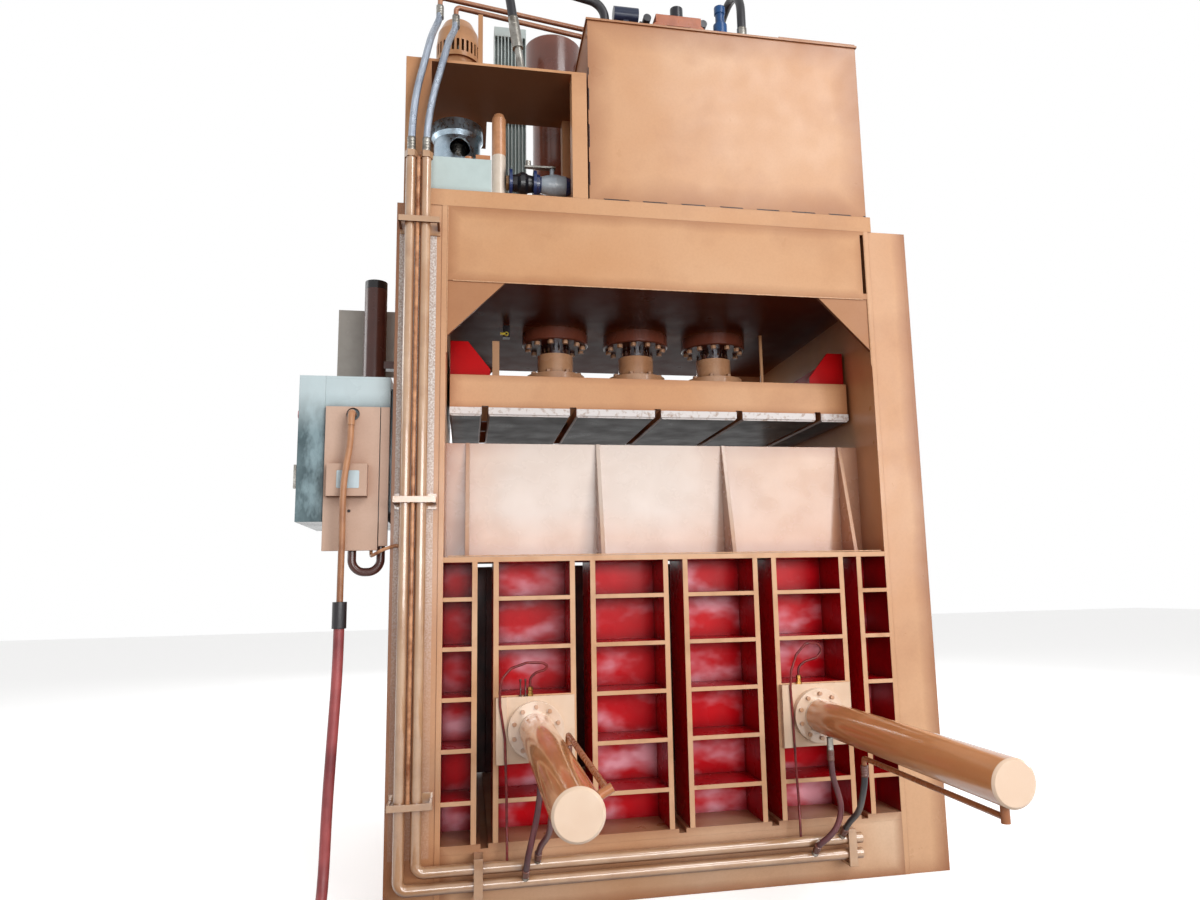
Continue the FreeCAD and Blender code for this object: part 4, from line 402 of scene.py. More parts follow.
tan = paint("tan_paint", TAN, TAN_SHADE, TAN_PALE, wave=0.002)
side_tan = paint("side_paint", srgb(206, 168, 144), srgb(150, 104, 78), srgb(216, 184, 164),
                 wave=0.002, shine=0.3)
bed_paint = paint("bed_paint", srgb(218, 170, 130), TAN_SHADE, srgb(232, 196, 164), wave=0.002,
                  extra=red_inside, panel=BED_PANEL)
door_paint = paint("door_paint", TAN, TAN_SHADE, TAN_PALE, wave=0.002, extra=door_channel_shade)
tank_paint = paint("tank_paint", TAN, TAN_SHADE, TAN_PALE, wave=0.003, extra=tank_seam_shade,
                   shine=0.36, panel=TANK_PANEL)
column_paint = paint("column_paint", TAN, TAN_SHADE, TAN_PALE, wave=0.002, extra=red_cells_and_painted_glare,
                     shine=0.5, panel=COLUMN_PANEL)
# beam and platen take full painted shade underneath, the platen's nearly black
beam_paint = paint("beam_paint", TAN, TAN_SHADE, TAN_PALE, wave=0.003, under=1.0, shine=0.2,
                   panel=BEAM_PANEL)
wall_paint = paint("wall_paint", srgb(194, 142, 104), TAN_SHADE, srgb(202, 156, 122), wave=0.005,
                   shine=0.5, coat=0.3, rough=0.26, extra=painted_wall_glare, panel=WALL_PANEL)
platen_paint = paint("platen_paint", TAN, TAN_SHADE, TAN_PALE, wave=0.002, under=1.0,
                     extra=lip_highlight, shine=0.2, below=srgb(44, 28, 26), panel=PLATEN_PANEL)
tan_pipe = paint("tan_pipe", srgb(190, 144, 104), srgb(130, 80, 50), srgb(206, 166, 130),
                 rough=0.18, coat=0.8, coat_rough=0.04, reach=0.04, patch=5.0, shine=0.8)
cream = paint("cream_paint", CREAM, srgb(142, 86, 54), CREAM_PALE, rough=0.3, reach=0.035,
              patch=3.0, shine=0.4, extra=cream_flange)
bronze = paint("bronze_paint", srgb(226, 152, 94), srgb(170, 100, 56), srgb(232, 162, 106),
               rough=0.2, coat=0.6, coat_rough=0.05, reach=0.03, patch=0.5, shine=0.7,
               under=0.25, fleck=0.03, extra=cream_flange)
brown = paint("brown_paint", srgb(112, 58, 42), BROWN_DARK, srgb(128, 70, 52), rough=0.25,
              coat=0.3, coat_rough=0.08, reach=0.05, patch=3.0, shine=0.5)
collar_tan = paint("collar_paint", srgb(198, 144, 104), srgb(104, 60, 40), srgb(214, 166, 128),
                   rough=0.26, coat=0.4, coat_rough=0.08, reach=0.04, patch=4.0, shine=0.5,
                   under=0.5)
link_brown = paint("link_paint", srgb(178, 116, 80), srgb(112, 62, 42), srgb(194, 136, 100),
                   rough=0.24, coat=0.3, coat_rough=0.08, reach=0.03, patch=6.0, shine=0.5)
bright_red = paint("guide_red", srgb(172, 0, 6), srgb(110, 2, 6), srgb(196, 4, 10), reach=0.08,
                   patch=2.0, under=0.0, shine=0.1, coat=0.0)
pale = paint("pale_grey", srgb(196, 210, 208), srgb(132, 144, 142), srgb(214, 224, 222),
             rough=0.42, reach=0.03, patch=4.0, under=0.0)

chrome = metal("chrome_rod", srgb(226, 226, 230), srgb(180, 182, 190), rough=0.1,
               brushed=(1.0, 1.0, 0.05), bump=0.00005)
steel = metal("bolt_steel", srgb(176, 174, 168), srgb(104, 98, 90), rough=0.32)
aluminium = metal("bare_aluminium", srgb(176, 192, 204), srgb(150, 168, 182), rough=0.3,
                  scale=40.0)
dark_steel = metal("dark_steel", srgb(70, 66, 66), srgb(34, 30, 32), rough=0.35)
brass = metal("brass", srgb(206, 164, 96), srgb(140, 98, 46), rough=0.28)

black = plastic("black_plastic", srgb(30, 28, 32), srgb(12, 12, 14))
rubber = plastic("hose_rubber", srgb(34, 32, 38), srgb(14, 12, 16), grain=320.0)
hose_brown = plastic("hose_brown", srgb(112, 54, 58), srgb(58, 30, 38), coat=0.12, grain=260.0)
yellow = plastic("yellow_plastic", srgb(226, 200, 30), srgb(150, 120, 20), rough=0.4)
stop_red = plastic("stop_red", srgb(206, 18, 20), srgb(120, 6, 10), rough=0.3, coat=0.5)
lead_skin = plastic("lead_sheath", *SHEATH_TAN, grain=240.0)
drop_skin = plastic("cable_sheath", srgb(178, 86, 86), srgb(122, 48, 52), grain=240.0)


def lattice_paint():
    """Tan on the front edges and on the outer frame, glossy red inside the cells and the slots,
    with painted glare on the cells' back faces and painted shade on their sides and in their
    corners.
    """
    n = Nodes("lattice_paint")
    front = n.ramp(n.axis("Y"), -0.8735, -0.8715)
    cloud = n.ramp(n.noise(2.6, 4.0, 0.55), 0.35, 0.68)
    tan_colour = n.mix(cloud, srgb(216, 166, 126), srgb(226, 182, 146))
    blot = n.ramp(n.noise(9.0, 4.0), 0.5, 0.74, 0.0, 0.3)
    tan_colour = n.mix(blot, tan_colour, TAN_SHADE)
    red_colour = n.mix(n.ramp(n.noise(3.4, 5.0, 0.6), 0.38, 0.66), RED, RED_LIGHT)
    back = n.ramp(n.facing("Y"), -0.7, -0.95, 0.0, 1.0)
    # painted reflection: pale pink glare streaks on the faces that look to -Y
    glare = n.ramp(n.noise(3.9, 3.0, 0.5, (1.0, 1.0, 1.7)), 0.44, 0.67, 0.0, 1.0)
    sheen = n.maths("MULTIPLY", n.maths("POWER", glare, 1.6), 0.92)
    red_colour = n.mix(n.maths("MULTIPLY", sheen, back), red_colour, GLARE_PINK)
    # painted shade on the faces that don't look to -Y
    red_colour = n.mix(n.ramp(back, 0.0, 1.0, 0.45, 0.0), red_colour, RED_SHADE)
    # painted shade in the corners
    corner_shade = n.ramp(n.corners(0.07), 0.3, 0.9, 0.95, 0.0)
    red_colour = n.mix(corner_shade, red_colour, RED_SHADE)
    base = n.mix(front, tan_colour, red_colour)
    gloss = n.ramp(n.noise(6.0, 4.0), 0.3, 0.7, 0.2, 0.34)
    normal = n.bump(n.noise(7.0, 3.0), 0.006, 0.3, n.rounded(0.003))
    finish_shader(n, base, gloss, 0.0, 0.0, 0.08, normal, 0.12)
    return n.material


def cabinet_paint():
    """Teal grey gloss with pale streaks, a painted reflection along the top of the front edge and
    painted shade in the corners.
    """
    n = Nodes("grey_paint")
    cloud = n.ramp(n.noise(3.6, 5.0, 0.6, (1.0, 1.0, 0.6)), 0.42, 0.6)
    base = n.mix(cloud, srgb(70, 92, 98), srgb(118, 142, 148))
    pale_streak = n.ramp(n.noise(5.0, 5.0, 0.65, (1.0, 1.0, 0.45)), 0.5, 0.6, 0.0, 0.62)
    base = n.mix(pale_streak, base, srgb(164, 190, 198))
    # painted reflection: pale along the top of the cabinet's front edge
    edge = n.within(*CABINET_GLARE_EDGE)
    base = n.mix(n.maths("MULTIPLY", edge, n.ramp(n.axis("Z"), 2.2, 2.4, 0.0, 0.85)), base,
                 srgb(214, 230, 234))
    # painted shade in the corners
    base = n.mix(n.ramp(n.corners(0.06), 0.35, 0.95, 0.85, 0.0), base, srgb(30, 40, 46))
    gloss = n.ramp(n.noise(5.0, 4.0), 0.3, 0.7, 0.16, 0.34)
    normal = n.bump(n.noise(11.0, 3.0), 0.003, 0.25, n.rounded(0.004))
    finish_shader(n, base, gloss, 0.0, 0.25, 0.08, normal, 0.4)
    return n.material


def thin_pipe_paint():
    """The long conduit is tan, the feed pipes brown, and the small tubes dark purple brown."""
    n = Nodes("thin_pipe_paint")
    side = n.ramp(n.axis("X"), -1.21, -1.19)
    tan_colour = n.mix(n.ramp(n.noise(20.0, 3.0), 0.35, 0.7), srgb(222, 164, 122), TAN_SHADE)
    cloud = n.ramp(n.noise(22.0, 3.0), 0.35, 0.7)
    base = n.mix(side, tan_colour, n.mix(cloud, srgb(136, 38, 36), srgb(92, 28, 30)))
    feeds = n.ramp(n.axis("Y"), -0.985, -0.975, 1.0, 0.0)
    cloud = n.ramp(n.noise(3.0, 2.0), 0.35, 0.7)
    base = n.mix(feeds, base, n.mix(cloud, srgb(178, 116, 76), srgb(150, 90, 58)))
    gloss = n.ramp(n.noise(30.0, 3.0), 0.3, 0.7, 0.2, 0.36)
    normal = n.bump(n.noise(ORANGE_PEEL, 2.0), 0.0002, 0.5)
    finish_shader(n, base, gloss, 0.0, 0.2, 0.1, normal, 0.2)
    return n.material


def braid():
    """Woven wire over a hose: two sets of crossing strands that run round the hose."""
    n = Nodes("braid_steel")
    split = n.new("ShaderNodeSeparateXYZ")
    n.join(n.new("ShaderNodeTexCoord").outputs["UV"], split.inputs[0])
    along = n.maths("MULTIPLY", split.outputs[0], 90.0)
    round_it = n.maths("MULTIPLY", split.outputs[1], 9.0)
    heights = []
    for sign in ("ADD", "SUBTRACT"):
        wave = n.maths("SINE", n.maths("MULTIPLY", n.maths(sign, along, round_it), math.tau))
        heights.append(n.maths("ABSOLUTE", wave))
    height = n.maths("MULTIPLY", heights[0], heights[1])
    base = n.mix(n.ramp(height, 0.05, 0.6), srgb(60, 68, 84), srgb(206, 216, 230))
    base = n.mix(n.ramp(n.noise(7.0, 3.0), 0.4, 0.7, 0.0, 0.4), base, srgb(96, 108, 130))
    gloss = n.ramp(n.noise(20.0, 3.0), 0.3, 0.7, 0.24, 0.4)
    finish_shader(n, base, gloss, 0.8, 0.0, 0.1, n.bump(height, 0.0015, 0.7))
    return n.material


def zoned(name, zones, last, rough=0.32, shine=0.4, grain=16.0, bands=()):
    """One coating in several colours. Each zone is (axis, plane, whether it lies below the
    plane, colour, shade), last is the rest's (colour, shade), and bands are (ranges, colour,
    shade) on top."""
    n = Nodes(name)
    tone = n.ramp(n.noise(grain, 3.0), 0.35, 0.7, 0.0, 0.35)
    base = n.mix(tone, last[0], last[1])
    for which, plane, below, colour, shade in reversed(zones):
        ends = (1.0, 0.0) if below else (0.0, 1.0)
        value = n.ramp(n.axis(which), plane - 0.0005, plane + 0.0005, *ends)
        base = n.mix(value, base, n.mix(tone, colour, shade))
    for limits, colour, shade in bands:
        inside = n.within(*limits)
        cloud = n.ramp(n.noise(30.0), 0.35, 0.7, 0.0, 0.4)
        base = n.mix(inside, base, n.mix(cloud, colour, shade))
    # painted shade in the corners
    base = n.mix(n.ramp(n.corners(0.04), 0.3, 0.95, 0.7, 0.0), base, srgb(30, 20, 18))
    gloss = n.ramp(n.noise(grain * 2), 0.3, 0.7, rough - 0.06, rough + 0.08)
    normal = n.bump(n.noise(ORANGE_PEEL, 2.0), 0.0002, 0.5, n.rounded(0.003))
    finish_shader(n, base, gloss, 0.0, 0.2, 0.1, normal, shine)
    return n.material


valve_block = zoned("valve_block", [("X", -0.09, True, srgb(34, 44, 70), srgb(16, 20, 34)),
                                    ("X", 0.34, False, srgb(30, 82, 140), srgb(12, 34, 70)),
                                    ("Z", 4.596, False, srgb(40, 40, 48), srgb(18, 18, 22))],
                    (srgb(176, 92, 46), srgb(98, 46, 28)), shine=0.25)
fittings = zoned("side_fitting_paint",
                 [("Y", -0.3, False) + BOARD_GREY,
                  ("Z", 3.04, False, srgb(26, 24, 28), srgb(12, 12, 14))],
                 (srgb(88, 48, 40), srgb(60, 30, 26)), rough=0.2)
glands = zoned("gland_paint", [("Z", 2.2, False) + SHEATH_TAN],
               (srgb(34, 30, 34), srgb(14, 12, 16)), rough=0.4)
suction = zoned("suction_paint", [("X", -0.828, True, srgb(226, 212, 196), srgb(196, 176, 156)),
                                  ("X", -0.8105, True, srgb(196, 148, 96), srgb(130, 86, 50)),
                                  ("X", -0.79, True) + FLANGE_BLUE,
                                  ("X", -0.683, False) + FLANGE_BLUE],
                (srgb(26, 26, 32), srgb(12, 12, 16)), rough=0.3,
                bands=[(SUCTION_PIPE, srgb(206, 148, 106), srgb(160, 102, 66))])
valve_body = zoned("valve_paint", [("X", -0.635, True) + FLANGE_BLUE,
                                   ("X", -0.5, False) + FLANGE_BLUE],
                   (srgb(176, 188, 198), srgb(110, 122, 136)), rough=0.26, shine=0.8)
terminal = zoned("terminal_paint", [("Z", 3.6435, False, srgb(196, 130, 84), srgb(140, 84, 52))],
                 (srgb(196, 212, 210), srgb(178, 194, 192)), rough=0.4)
plate_pale = zoned("plate_pale", [], (srgb(206, 222, 228), srgb(176, 196, 206)), rough=0.4)
weld_paint = zoned("weld_paint", [], (srgb(214, 164, 122), srgb(156, 98, 62)), rough=0.3,
                   grain=60.0)
upright_steel = zoned("upright_dark", [], (srgb(92, 40, 34), srgb(50, 24, 22)), rough=0.3)
lattice = lattice_paint()
cabinet_grey = cabinet_paint()
thin_paint = thin_pipe_paint()
braid_steel = braid()

LOOKS = {
    tan: ("door_brackets", "lock_bar", "motor_deck", "unit_base", "travel_markers", "motor"),
    side_tan: ("side_box",),
    bed_paint: ("bed",),
    door_paint: ("bale_door",),
    column_paint: ("side_frame_left", "side_frame_right"),
    tank_paint: ("tank", "tank_lid"),
    beam_paint: ("top_beam",),
    wall_paint: ("upper_wall",),
    platen_paint: ("platen",),
    tan_pipe: ("riser_outer", "riser_inner", "pipe_clamps"),
    link_brown: ("link_pipes",),
    cream: ("ejector_mounts",),
    bronze: ("ejector_barrel_left", "ejector_barrel_right"),
    brown: ("main_barrels",),
    collar_tan: ("rod_collars", "collar_bolts", "frame_bolts"),
    bright_red: ("platen_guides",),
    chrome: ("main_rods", "ejector_ram_left", "ejector_ram_right"),
    lattice: ("lattice_wall",),
    cabinet_grey: ("cabinet", "cabinet_door"),
    pale: ("cooler_motor",),
    terminal: ("terminal_box",),
    valve_body: ("ball_valve",),
    valve_block: ("manifold",),
    fittings: ("side_fittings",),
    glands: ("cable_fittings",),
    aluminium: ("bell_housing",),
    steel: ("hose_fittings", "rotor", "valve_lever", "cabinet_handle"),
    suction: ("suction_line",),
    dark_steel: ("pump", "limit_switch"),
    black: ("supply_plug",),
    yellow: ("switch_arm", "stop_collar"),
    stop_red: ("stop_button",),
    thin_paint: ("thin_pipes",),
}
for look_material, names in LOOKS.items():
    for name in names:
        mesh = nodes[name].data
        mesh.materials.clear()
        mesh.materials.append(look_material)


# cords: one smooth spline each, from fitting to fitting, close to the centre lines of the solids
def spline(name, points, diameter, material):
    data = bpy.data.curves.new(name, "CURVE")
    data.dimensions = "3D"
    data.bevel_depth = diameter / 2
    data.bevel_resolution = 6
    data.resolution_u = 10
    data.use_fill_caps = True
    line = data.splines.new("NURBS")
    line.points.add(len(points) - 1)
    for point, place in zip(line.points, points):
        point.co = (*place, 1.0)
    line.order_u = 3
    line.use_endpoint_u = True
    piece = bpy.data.objects.new(name, data)
    bpy.context.scene.collection.objects.link(piece)
    data.materials.append(material)
    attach(piece, "press")
    return piece


LEFT_FRONT = [
    (-0.692, -1.075, 0.655), (-0.692, -1.075, 0.59), (-0.698, -1.072, 0.505),
    (-0.714, -1.068, 0.415), (-0.735, -1.062, 0.33), (-0.748, -1.048, 0.268),
    (-0.752, -1.0212, 0.2172), (-0.752, -0.982, 0.178),
]
LEFT_REAR = [
    (-0.604, -1.39, 0.8), (-0.604, -1.39, 0.735), (-0.622, -1.382, 0.655),
    (-0.652, -1.345, 0.575), (-0.664, -1.275, 0.497), (-0.661, -1.195, 0.42),
    (-0.67, -1.115, 0.366), (-0.698, -1.0442, 0.3092), (-0.698, -0.982, 0.247),
]
RIGHT_FRONT = [
    (0.682, -1.075, 0.655), (0.682, -1.075, 0.598), (0.69, -1.068, 0.528), (0.714, -1.061, 0.46),
    (0.73, -1.057, 0.395), (0.721, -1.054, 0.335), (0.696, -1.051, 0.287), (0.662, -1.044, 0.252),
    (0.622, -1.0212, 0.2172), (0.622, -0.982, 0.178),
]
RIGHT_REAR = [
    (0.699, -1.39, 0.645), (0.699, -1.39, 0.59), (0.706, -1.352, 0.525), (0.727, -1.282, 0.462),
    (0.755, -1.2, 0.412), (0.775, -1.12, 0.366), (0.764, -1.0442, 0.3092), (0.764, -0.982, 0.247),
]
OUTER = [
    (-1.306, -0.95, 3.601), (-1.306, -0.95, 3.72), (-1.288, -0.943, 3.93), (-1.247, -0.925, 4.13),
    (-1.23, -0.892, 4.24), (-1.224, -0.822, 4.325), (-1.221, -0.745, 4.398),
    (-1.218, -0.67, 4.47), (-1.208, -0.606, 4.545), (-1.191, -0.576, 4.615),
    (-1.191, -0.576, 4.685),
]
INNER = [
    (-1.233, -0.95, 3.601), (-1.233, -0.95, 3.715), (-1.208, -0.942, 3.91),
    (-1.162, -0.924, 4.11), (-1.143, -0.894, 4.215), (-1.136, -0.825, 4.3),
    (-1.132, -0.748, 4.37), (-1.129, -0.672, 4.436), (-1.119, -0.608, 4.503),
    (-1.103, -0.577, 4.57), (-1.103, -0.577, 4.635),
]
RETURN = [
    (-0.7905, -0.8022, 4.4472), (-0.798, -0.7997, 4.5026), (-0.8143, -0.7878, 4.6217),
    (-0.8207, -0.7839, 4.6691), (-0.805, -0.7799, 4.7143), (-0.7705, -0.776, 4.7475),
    (-0.7248, -0.7721, 4.7615), (-0.6776, -0.7682, 4.7532), (-0.5329, -0.756, 4.7219),
    (-0.3881, -0.7441, 4.7026), (-0.3414, -0.7402, 4.6944), (-0.3033, -0.7363, 4.6661),
    (-0.282, -0.7324, 4.6237), (-0.282, -0.727, 4.5763), (-0.282, -0.727, 4.512),
]
OVER = [
    (0.508, -0.775, 4.55), (0.508, -0.775, 4.66), (0.514, -0.755, 4.775), (0.514, -0.69, 4.872),
    (0.508, -0.585, 4.915), (0.503, -0.47, 4.9), (0.501, -0.37, 4.854), (0.5, -0.29, 4.82),
    (0.5, -0.219, 4.82),
]
LEAD = [
    (-1.563, -0.895, 2.225), (-1.563, -0.895, 2.13), (-1.58, -0.912, 2.02), (-1.588, -0.922, 1.88),
    (-1.586, -0.915, 1.7), (-1.59, -0.897, 1.51), (-1.59, -0.897, 1.4),
]
DROP = [
    (-1.59, -0.897, 1.28), (-1.59, -0.897, 1.11), (-1.604, -0.903, 0.8), (-1.617, -0.908, 0.5),
    (-1.621, -0.912, 0.222), (-1.621, -0.985, 0.096), (-1.622, -1.11, 0.024),
]
# name: points, diameter, length, material, stiffness
HOSES = {
    "hose_left_front": (LEFT_FRONT, 0.028, 0.506, hose_brown, "stiff"),
    "hose_left_rear": (LEFT_REAR, 0.028, 0.734, hose_brown, "stiff"),
    "hose_right_front": (RIGHT_FRONT, 0.028, 0.54, hose_brown, "stiff"),
    "hose_right_rear": (RIGHT_REAR, 0.028, 0.602, rubber, "stiff"),
    "braid_outer": (OUTER, 0.036, 1.214, braid_steel, "stiff"),
    "braid_inner": (INNER, 0.036, 1.172, braid_steel, "stiff"),
    "top_return": (RETURN, 0.05, 0.977, rubber, "stiff"),
    "top_right": (OVER, 0.05, 0.833, rubber, "stiff"),
    "supply_lead_skin": (LEAD, 0.03, 0.828, lead_skin, "medium"),
}
STANDS_FOR = {"hose": "ejector_hoses", "braid": "riser_hoses", "top": "top_hoses",
              "supply": "supply_lead"}
for name, (points, diameter, length, material, stiffness) in HOSES.items():
    piece = spline(name, points, diameter, material)
    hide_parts(STANDS_FOR[name.split("_")[0]])

# the supply cable drops to the floor and is put away in a coil outside the picture
COIL_X, COIL_Y, COIL_LOW = -1.358, -1.32, 0.024
PLUG_Z = 0.036
COIL_RADIUS, RISE_PER_TURN = 0.264, 0.057
STEPS_PER_TURN, STEPS = 12, 27
step = math.tau / STEPS_PER_TURN
ring = COIL_RADIUS / math.cos(step / 2)
run = 2 * ring * math.sin(step / 2)
cable = DROP + [(COIL_X - COIL_RADIUS, COIL_Y + run / 2, COIL_LOW)]
for i in range(STEPS):
    angle = math.pi + step * (i + 0.5)
    cable.append((COIL_X + ring * math.cos(angle), COIL_Y + ring * math.sin(angle),
                  COIL_LOW + RISE_PER_TURN * i / STEPS_PER_TURN))
# from the coil's last point the cable runs straight on and comes down to the plug
last = cable[-1]
cable += [(last[0] + run, last[1], last[2] + 0.004),
          (last[0] + run * 2, last[1] + 0.004, last[2] - 0.016),
          (last[0] + run * 3, last[1] + 0.002, 0.082),
          (last[0] + run * 4, last[1], PLUG_Z),
          (last[0] + run * 5, last[1], PLUG_Z)]
supply = spline("supply_cable", cable, 0.048, drop_skin)
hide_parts("supply_conduit", "supply_coil")


# small forms that the solids leave out; each rides on the press
def add_piece(name, build, material, smooth=True):
    """A new object from a function that fills a bmesh."""
    mesh = bmesh.new()
    build(mesh)
    bmesh.ops.recalc_face_normals(mesh, faces=mesh.faces)
    data = bpy.data.meshes.new(name)
    mesh.to_mesh(data)
    mesh.free()
    for face in data.polygons:
        face.use_smooth = smooth
    data.materials.append(material)
    thing = bpy.data.objects.new(name, data)
    bpy.context.scene.collection.objects.link(thing)
    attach(thing, "press")


def turned(start, toward, outline, sides=24):
    """A turned part: an outline of (distance, radius) pairs spun about a line."""
    start, line = Vector(start), (Vector(toward) - Vector(start)).normalized()
    side = line.orthogonal().normalized()
    other = line.cross(side)
    turns = [math.tau * k / sides for k in range(sides)]

    def build(mesh):
        rings = []
        for distance, radius in outline:
            centre = start + line * distance
            rings.append([
                mesh.verts.new(centre + (side * math.cos(t) + other * math.sin(t)) * radius)
                for t in turns])
        for first, second in zip(rings, rings[1:]):
            for k in range(sides):
                after = (k + 1) % sides
                mesh.faces.new((first[k], first[after], second[after], second[k]))
        mesh.faces.new(rings[0])
        mesh.faces.new(rings[-1])
    return build


def sleeve(bore, length):
    """Outline of a crimped hose sleeve with three grooves."""
    outline = [(0.0, bore), (0.001, bore + 0.0028)]
    for k in range(3):
        middle = length * (0.3 + 0.2 * k)
        outline += [(middle - 0.003, bore + 0.003), (middle - 0.001, bore + 0.0016),
                    (middle + 0.001, bore + 0.0016), (middle + 0.003, bore + 0.003)]
    return outline + [(length - 0.001, bore + 0.0028), (length, bore)]


def bead(start, end, width, lift=0.5):
    """A weld bead: a low ridge with uneven ripples along a line on a face that looks to -Y."""
    start, end = Vector(start), Vector(end)
    out = Vector((0, -1, 0))
    flank = (end - start).normalized().cross(out).normalized()
    count = max(2, int((end - start).length / (width * 0.8)))
    arc = [math.pi * j / 4 for j in range(5)]

    def build(mesh):
        rings = []
        for k in range(count + 1):
            centre = start.lerp(end, k / count)
            size = width * random.uniform(0.36, 0.56)
            rings.append([mesh.verts.new(centre + flank * size * math.cos(a)
                                         + out * size * lift * math.sin(a)) for a in arc])
        for first, second in zip(rings, rings[1:]):
            for k in range(4):
                mesh.faces.new((first[k], first[k + 1], second[k + 1], second[k]))
    return build


def plate(low, high, front, thick, round_by=0.006):
    """A small plate with rounded corners that faces -Y, between two corners (X, Z)."""
    left, bottom = low[0] + round_by, low[1] + round_by
    right, top = high[0] - round_by, high[1] - round_by
    middle_x, middle_z = (low[0] + high[0]) / 2, (low[1] + high[1]) / 2

    def build(mesh):
        outline = []
        for quarter, (x, z) in enumerate(((right, top), (left, top), (left, bottom),
                                          (right, bottom))):
            for j in range(4):
                a = math.pi / 2 * (quarter + j / 3)
                outline.append((x + round_by * math.cos(a), z + round_by * math.sin(a)))
        rims = []
        for y, inset in ((front + thick, 0.0), (front + 0.001, 0.0), (front, 0.0012)):
            pull = inset / 0.05
            rims.append([mesh.verts.new((x + (middle_x - x) * pull, y, z + (middle_z - z) * pull))
                         for x, z in outline])
        count = len(outline)
        for first, second in zip(rims, rims[1:]):
            for k in range(count):
                after = (k + 1) % count
                mesh.faces.new((first[k], first[after], second[after], second[k]))
        mesh.faces.new(rims[-1])
        mesh.faces.new(rims[0])
    return build


# outlines of (distance, radius)
SCREW = [(0.0, 0.007), (0.004, 0.0068), (0.0055, 0.005), (0.0055, 0.002), (0.004, 0.0015)]
FITTING = [(0.0, 0.015), (0.013, 0.015), (0.015, 0.0115), (0.026, 0.0115), (0.028, 0.0135),
           (0.042, 0.0135), (0.044, 0.0095)]
UPRIGHT = [(0.0, 0.007), (0.006, 0.007), (0.008, 0.004), (0.066, 0.004), (0.068, 0.0055),
           (0.078, 0.0055), (0.08, 0.003)]
# the ejector mounts' top edge, a height above it, and a plane just before the frame's front
MOUNT_Y, MOUNT_TOP, ABOVE = -0.888, 0.943, 1.1
FRONT_Y = -0.8752

add_piece("junction_plate", plate((-1.624, 1.926), (-1.521, 2.011), -0.8845, 0.0025),
          plate_pale, False)
add_piece("junction_screw", turned((-1.569, -0.833, 1.823), (-1.569, -0.9, 1.823), SCREW),
          dark_steel)

# kind of hose: length and look of the sleeves at its ends
SLEEVES = {"hose": (0.05, brown), "braid": (0.075, steel), "top": (0.05, steel)}
for name, (points, diameter, *_) in HOSES.items():
    kind = name.split("_")[0]
    if kind in SLEEVES:
        size, finish = SLEEVES[kind]
        for end, start, toward in (("a", points[0], points[1]), ("b", points[-1], points[-2])):
            add_piece("sleeve_" + name + "_" + end,
                      turned(start, toward, sleeve(diameter / 2, size)), finish)

for side, foot_x in (("left", -0.723), ("right", 0.615)):
    stem = turned((foot_x, MOUNT_Y, MOUNT_TOP), (foot_x, MOUNT_Y, ABOVE), FITTING, 6)
    add_piece("mount_fitting_" + side, stem, brass, False)
for number, foot_x in enumerate((-0.768, -0.745)):
    stem = turned((foot_x, MOUNT_Y, MOUNT_TOP), (foot_x, MOUNT_Y, ABOVE), UPRIGHT, 12)
    add_piece("mount_upright_" + str(number), stem, upright_steel)

# name: start, end, width
BEADS = {
    "beam_bottom": ((-1.1, FRONT_Y, 2.972), (1.1, FRONT_Y, 2.972), 0.007),
    "column_left_top": ((-1.127, FRONT_Y, 3.36), (-1.127, FRONT_Y, 2.6), 0.006),
    "column_right_top": ((1.127, FRONT_Y, 3.36), (1.127, FRONT_Y, 2.6), 0.006),
    "wall_top": ((-1.11, FRONT_Y, 1.602), (1.11, FRONT_Y, 1.602), 0.006),
}
for name, line in BEADS.items():
    add_piece("bead_" + name, bead(*line), weld_paint)


# stage
FLOOR_HALF, FLOOR_Z = 30, -0.001
FLOOR_GLOW = 0.55       # emission that turns the seen floor near white
STUDIO_LIGHT = 0.3      # strength of the soft light from all round


def pale_floor():
    """Near white where it is seen; what bounces off it on the object stays dim."""
    n = Nodes("floor_white")
    rays = n.new("ShaderNodeLightPath")
    seen = n.maths("MAXIMUM", rays.outputs["Is Camera Ray"], rays.outputs["Is Glossy Ray"])
    seen = n.maths("MAXIMUM", seen, rays.outputs["Is Transmission Ray"])
    cloud = n.ramp(n.noise(3.0, 3.0), 0.3, 0.7)
    tone = n.mix(cloud, (0.86, 0.86, 0.86, 1), (0.9, 0.9, 0.9, 1))
    n.join(n.mix(seen, (0.14, 0.13, 0.12, 1), tone), n.shader.inputs["Base Color"])
    n.shader.inputs["Roughness"].default_value = 0.9
    glow = n.mix(seen, (0, 0, 0, 1), (1, 1, 1, 1))
    n.join(glow, n.shader.inputs["Emission Color"])
    n.shader.inputs["Emission Strength"].default_value = FLOOR_GLOW
    return n.material


ground = bpy.data.meshes.new("floor")
ground.from_pydata([(x * FLOOR_HALF, y * FLOOR_HALF, FLOOR_Z)
                    for x, y in ((-1, -1), (1, -1), (1, 1), (-1, 1))], [], [(0, 1, 2, 3)])
ground.materials.append(pale_floor())
ground_object = bpy.data.objects.new("floor", ground)
bpy.context.scene.collection.objects.link(ground_object)

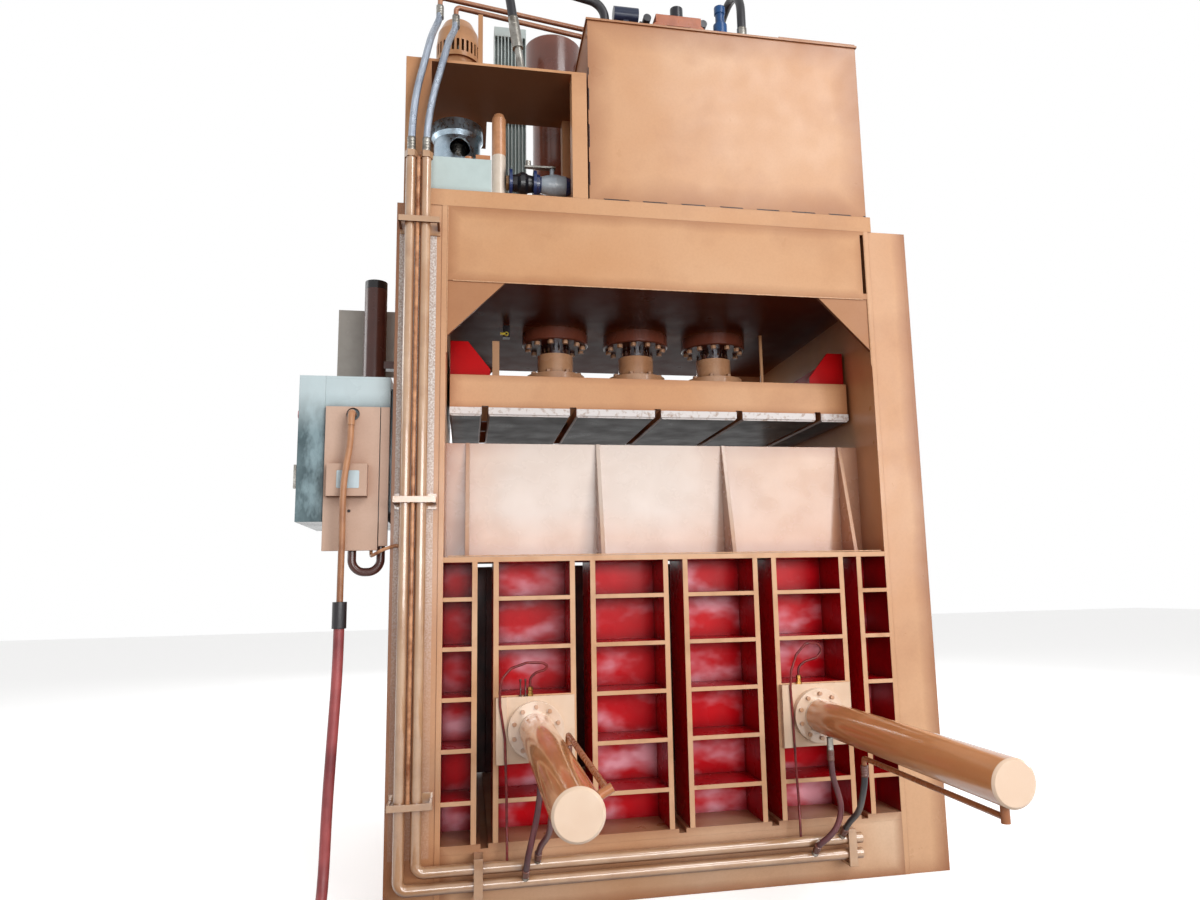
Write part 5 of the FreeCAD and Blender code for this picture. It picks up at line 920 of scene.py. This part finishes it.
# the world is white where it is seen, also in reflections, and soft as a light
world = bpy.data.worlds.new("studio")
bpy.context.scene.world = world
world.use_nodes = True
tree = world.node_tree
tree.nodes.clear()
rays = tree.nodes.new("ShaderNodeLightPath")
seen = rays.outputs["Is Camera Ray"]
for kind in ("Is Glossy Ray", "Is Transmission Ray"):
    either = tree.nodes.new("ShaderNodeMath")
    either.operation = "MAXIMUM"
    tree.links.new(seen, either.inputs[0])
    tree.links.new(rays.outputs[kind], either.inputs[1])
    seen = either.outputs[0]
choice = tree.nodes.new("ShaderNodeMixShader")
tree.links.new(seen, choice.inputs[0])
for slot, colour, strength in ((1, (1, 0.985, 0.97, 1), STUDIO_LIGHT), (2, (1, 1, 1, 1), 1.0)):
    background = tree.nodes.new("ShaderNodeBackground")
    background.inputs["Color"].default_value = colour
    background.inputs["Strength"].default_value = strength
    tree.links.new(background.outputs[0], choice.inputs[slot])
out = tree.nodes.new("ShaderNodeOutputWorld")
tree.links.new(choice.outputs[0], out.inputs[0])

# name: place, aim, width and height, watts
LAMPS = {
    "key": ((1.6, -9.2, 2.5), (0.4, -0.8, 2.0), (7.5, 2.6), 440.0),
    "strip": ((5.7, -9.2, 4.0), (1.2, -0.8, 2.4), (1.1, 5.0), 90.0),
    "left": ((-9.5, 1.5, 4.0), (-1.4, 0.0, 2.2), (5.0, 4.0), 210.0),
    "right": ((9.5, 1.5, 4.0), (1.4, 0.0, 2.2), (5.0, 4.0), 210.0),
    "rear": ((0.5, 10.0, 5.5), (0.0, 0.9, 2.0), (6.0, 4.0), 230.0),
    "high": ((4.2, -8.6, 9.4), (0.2, -0.8, 3.0), (4.4, 3.4), 390.0),
}
for name, (place, aim, size, watts) in LAMPS.items():
    data = bpy.data.lights.new(name, "AREA")
    data.shape = "RECTANGLE"
    data.size, data.size_y = size
    data.energy = watts
    light = bpy.data.objects.new(name, data)
    light.location = place
    light.rotation_euler = (Vector(aim) - Vector(place)).to_track_quat("-Z", "Y").to_euler()
    bpy.context.scene.collection.objects.link(light)
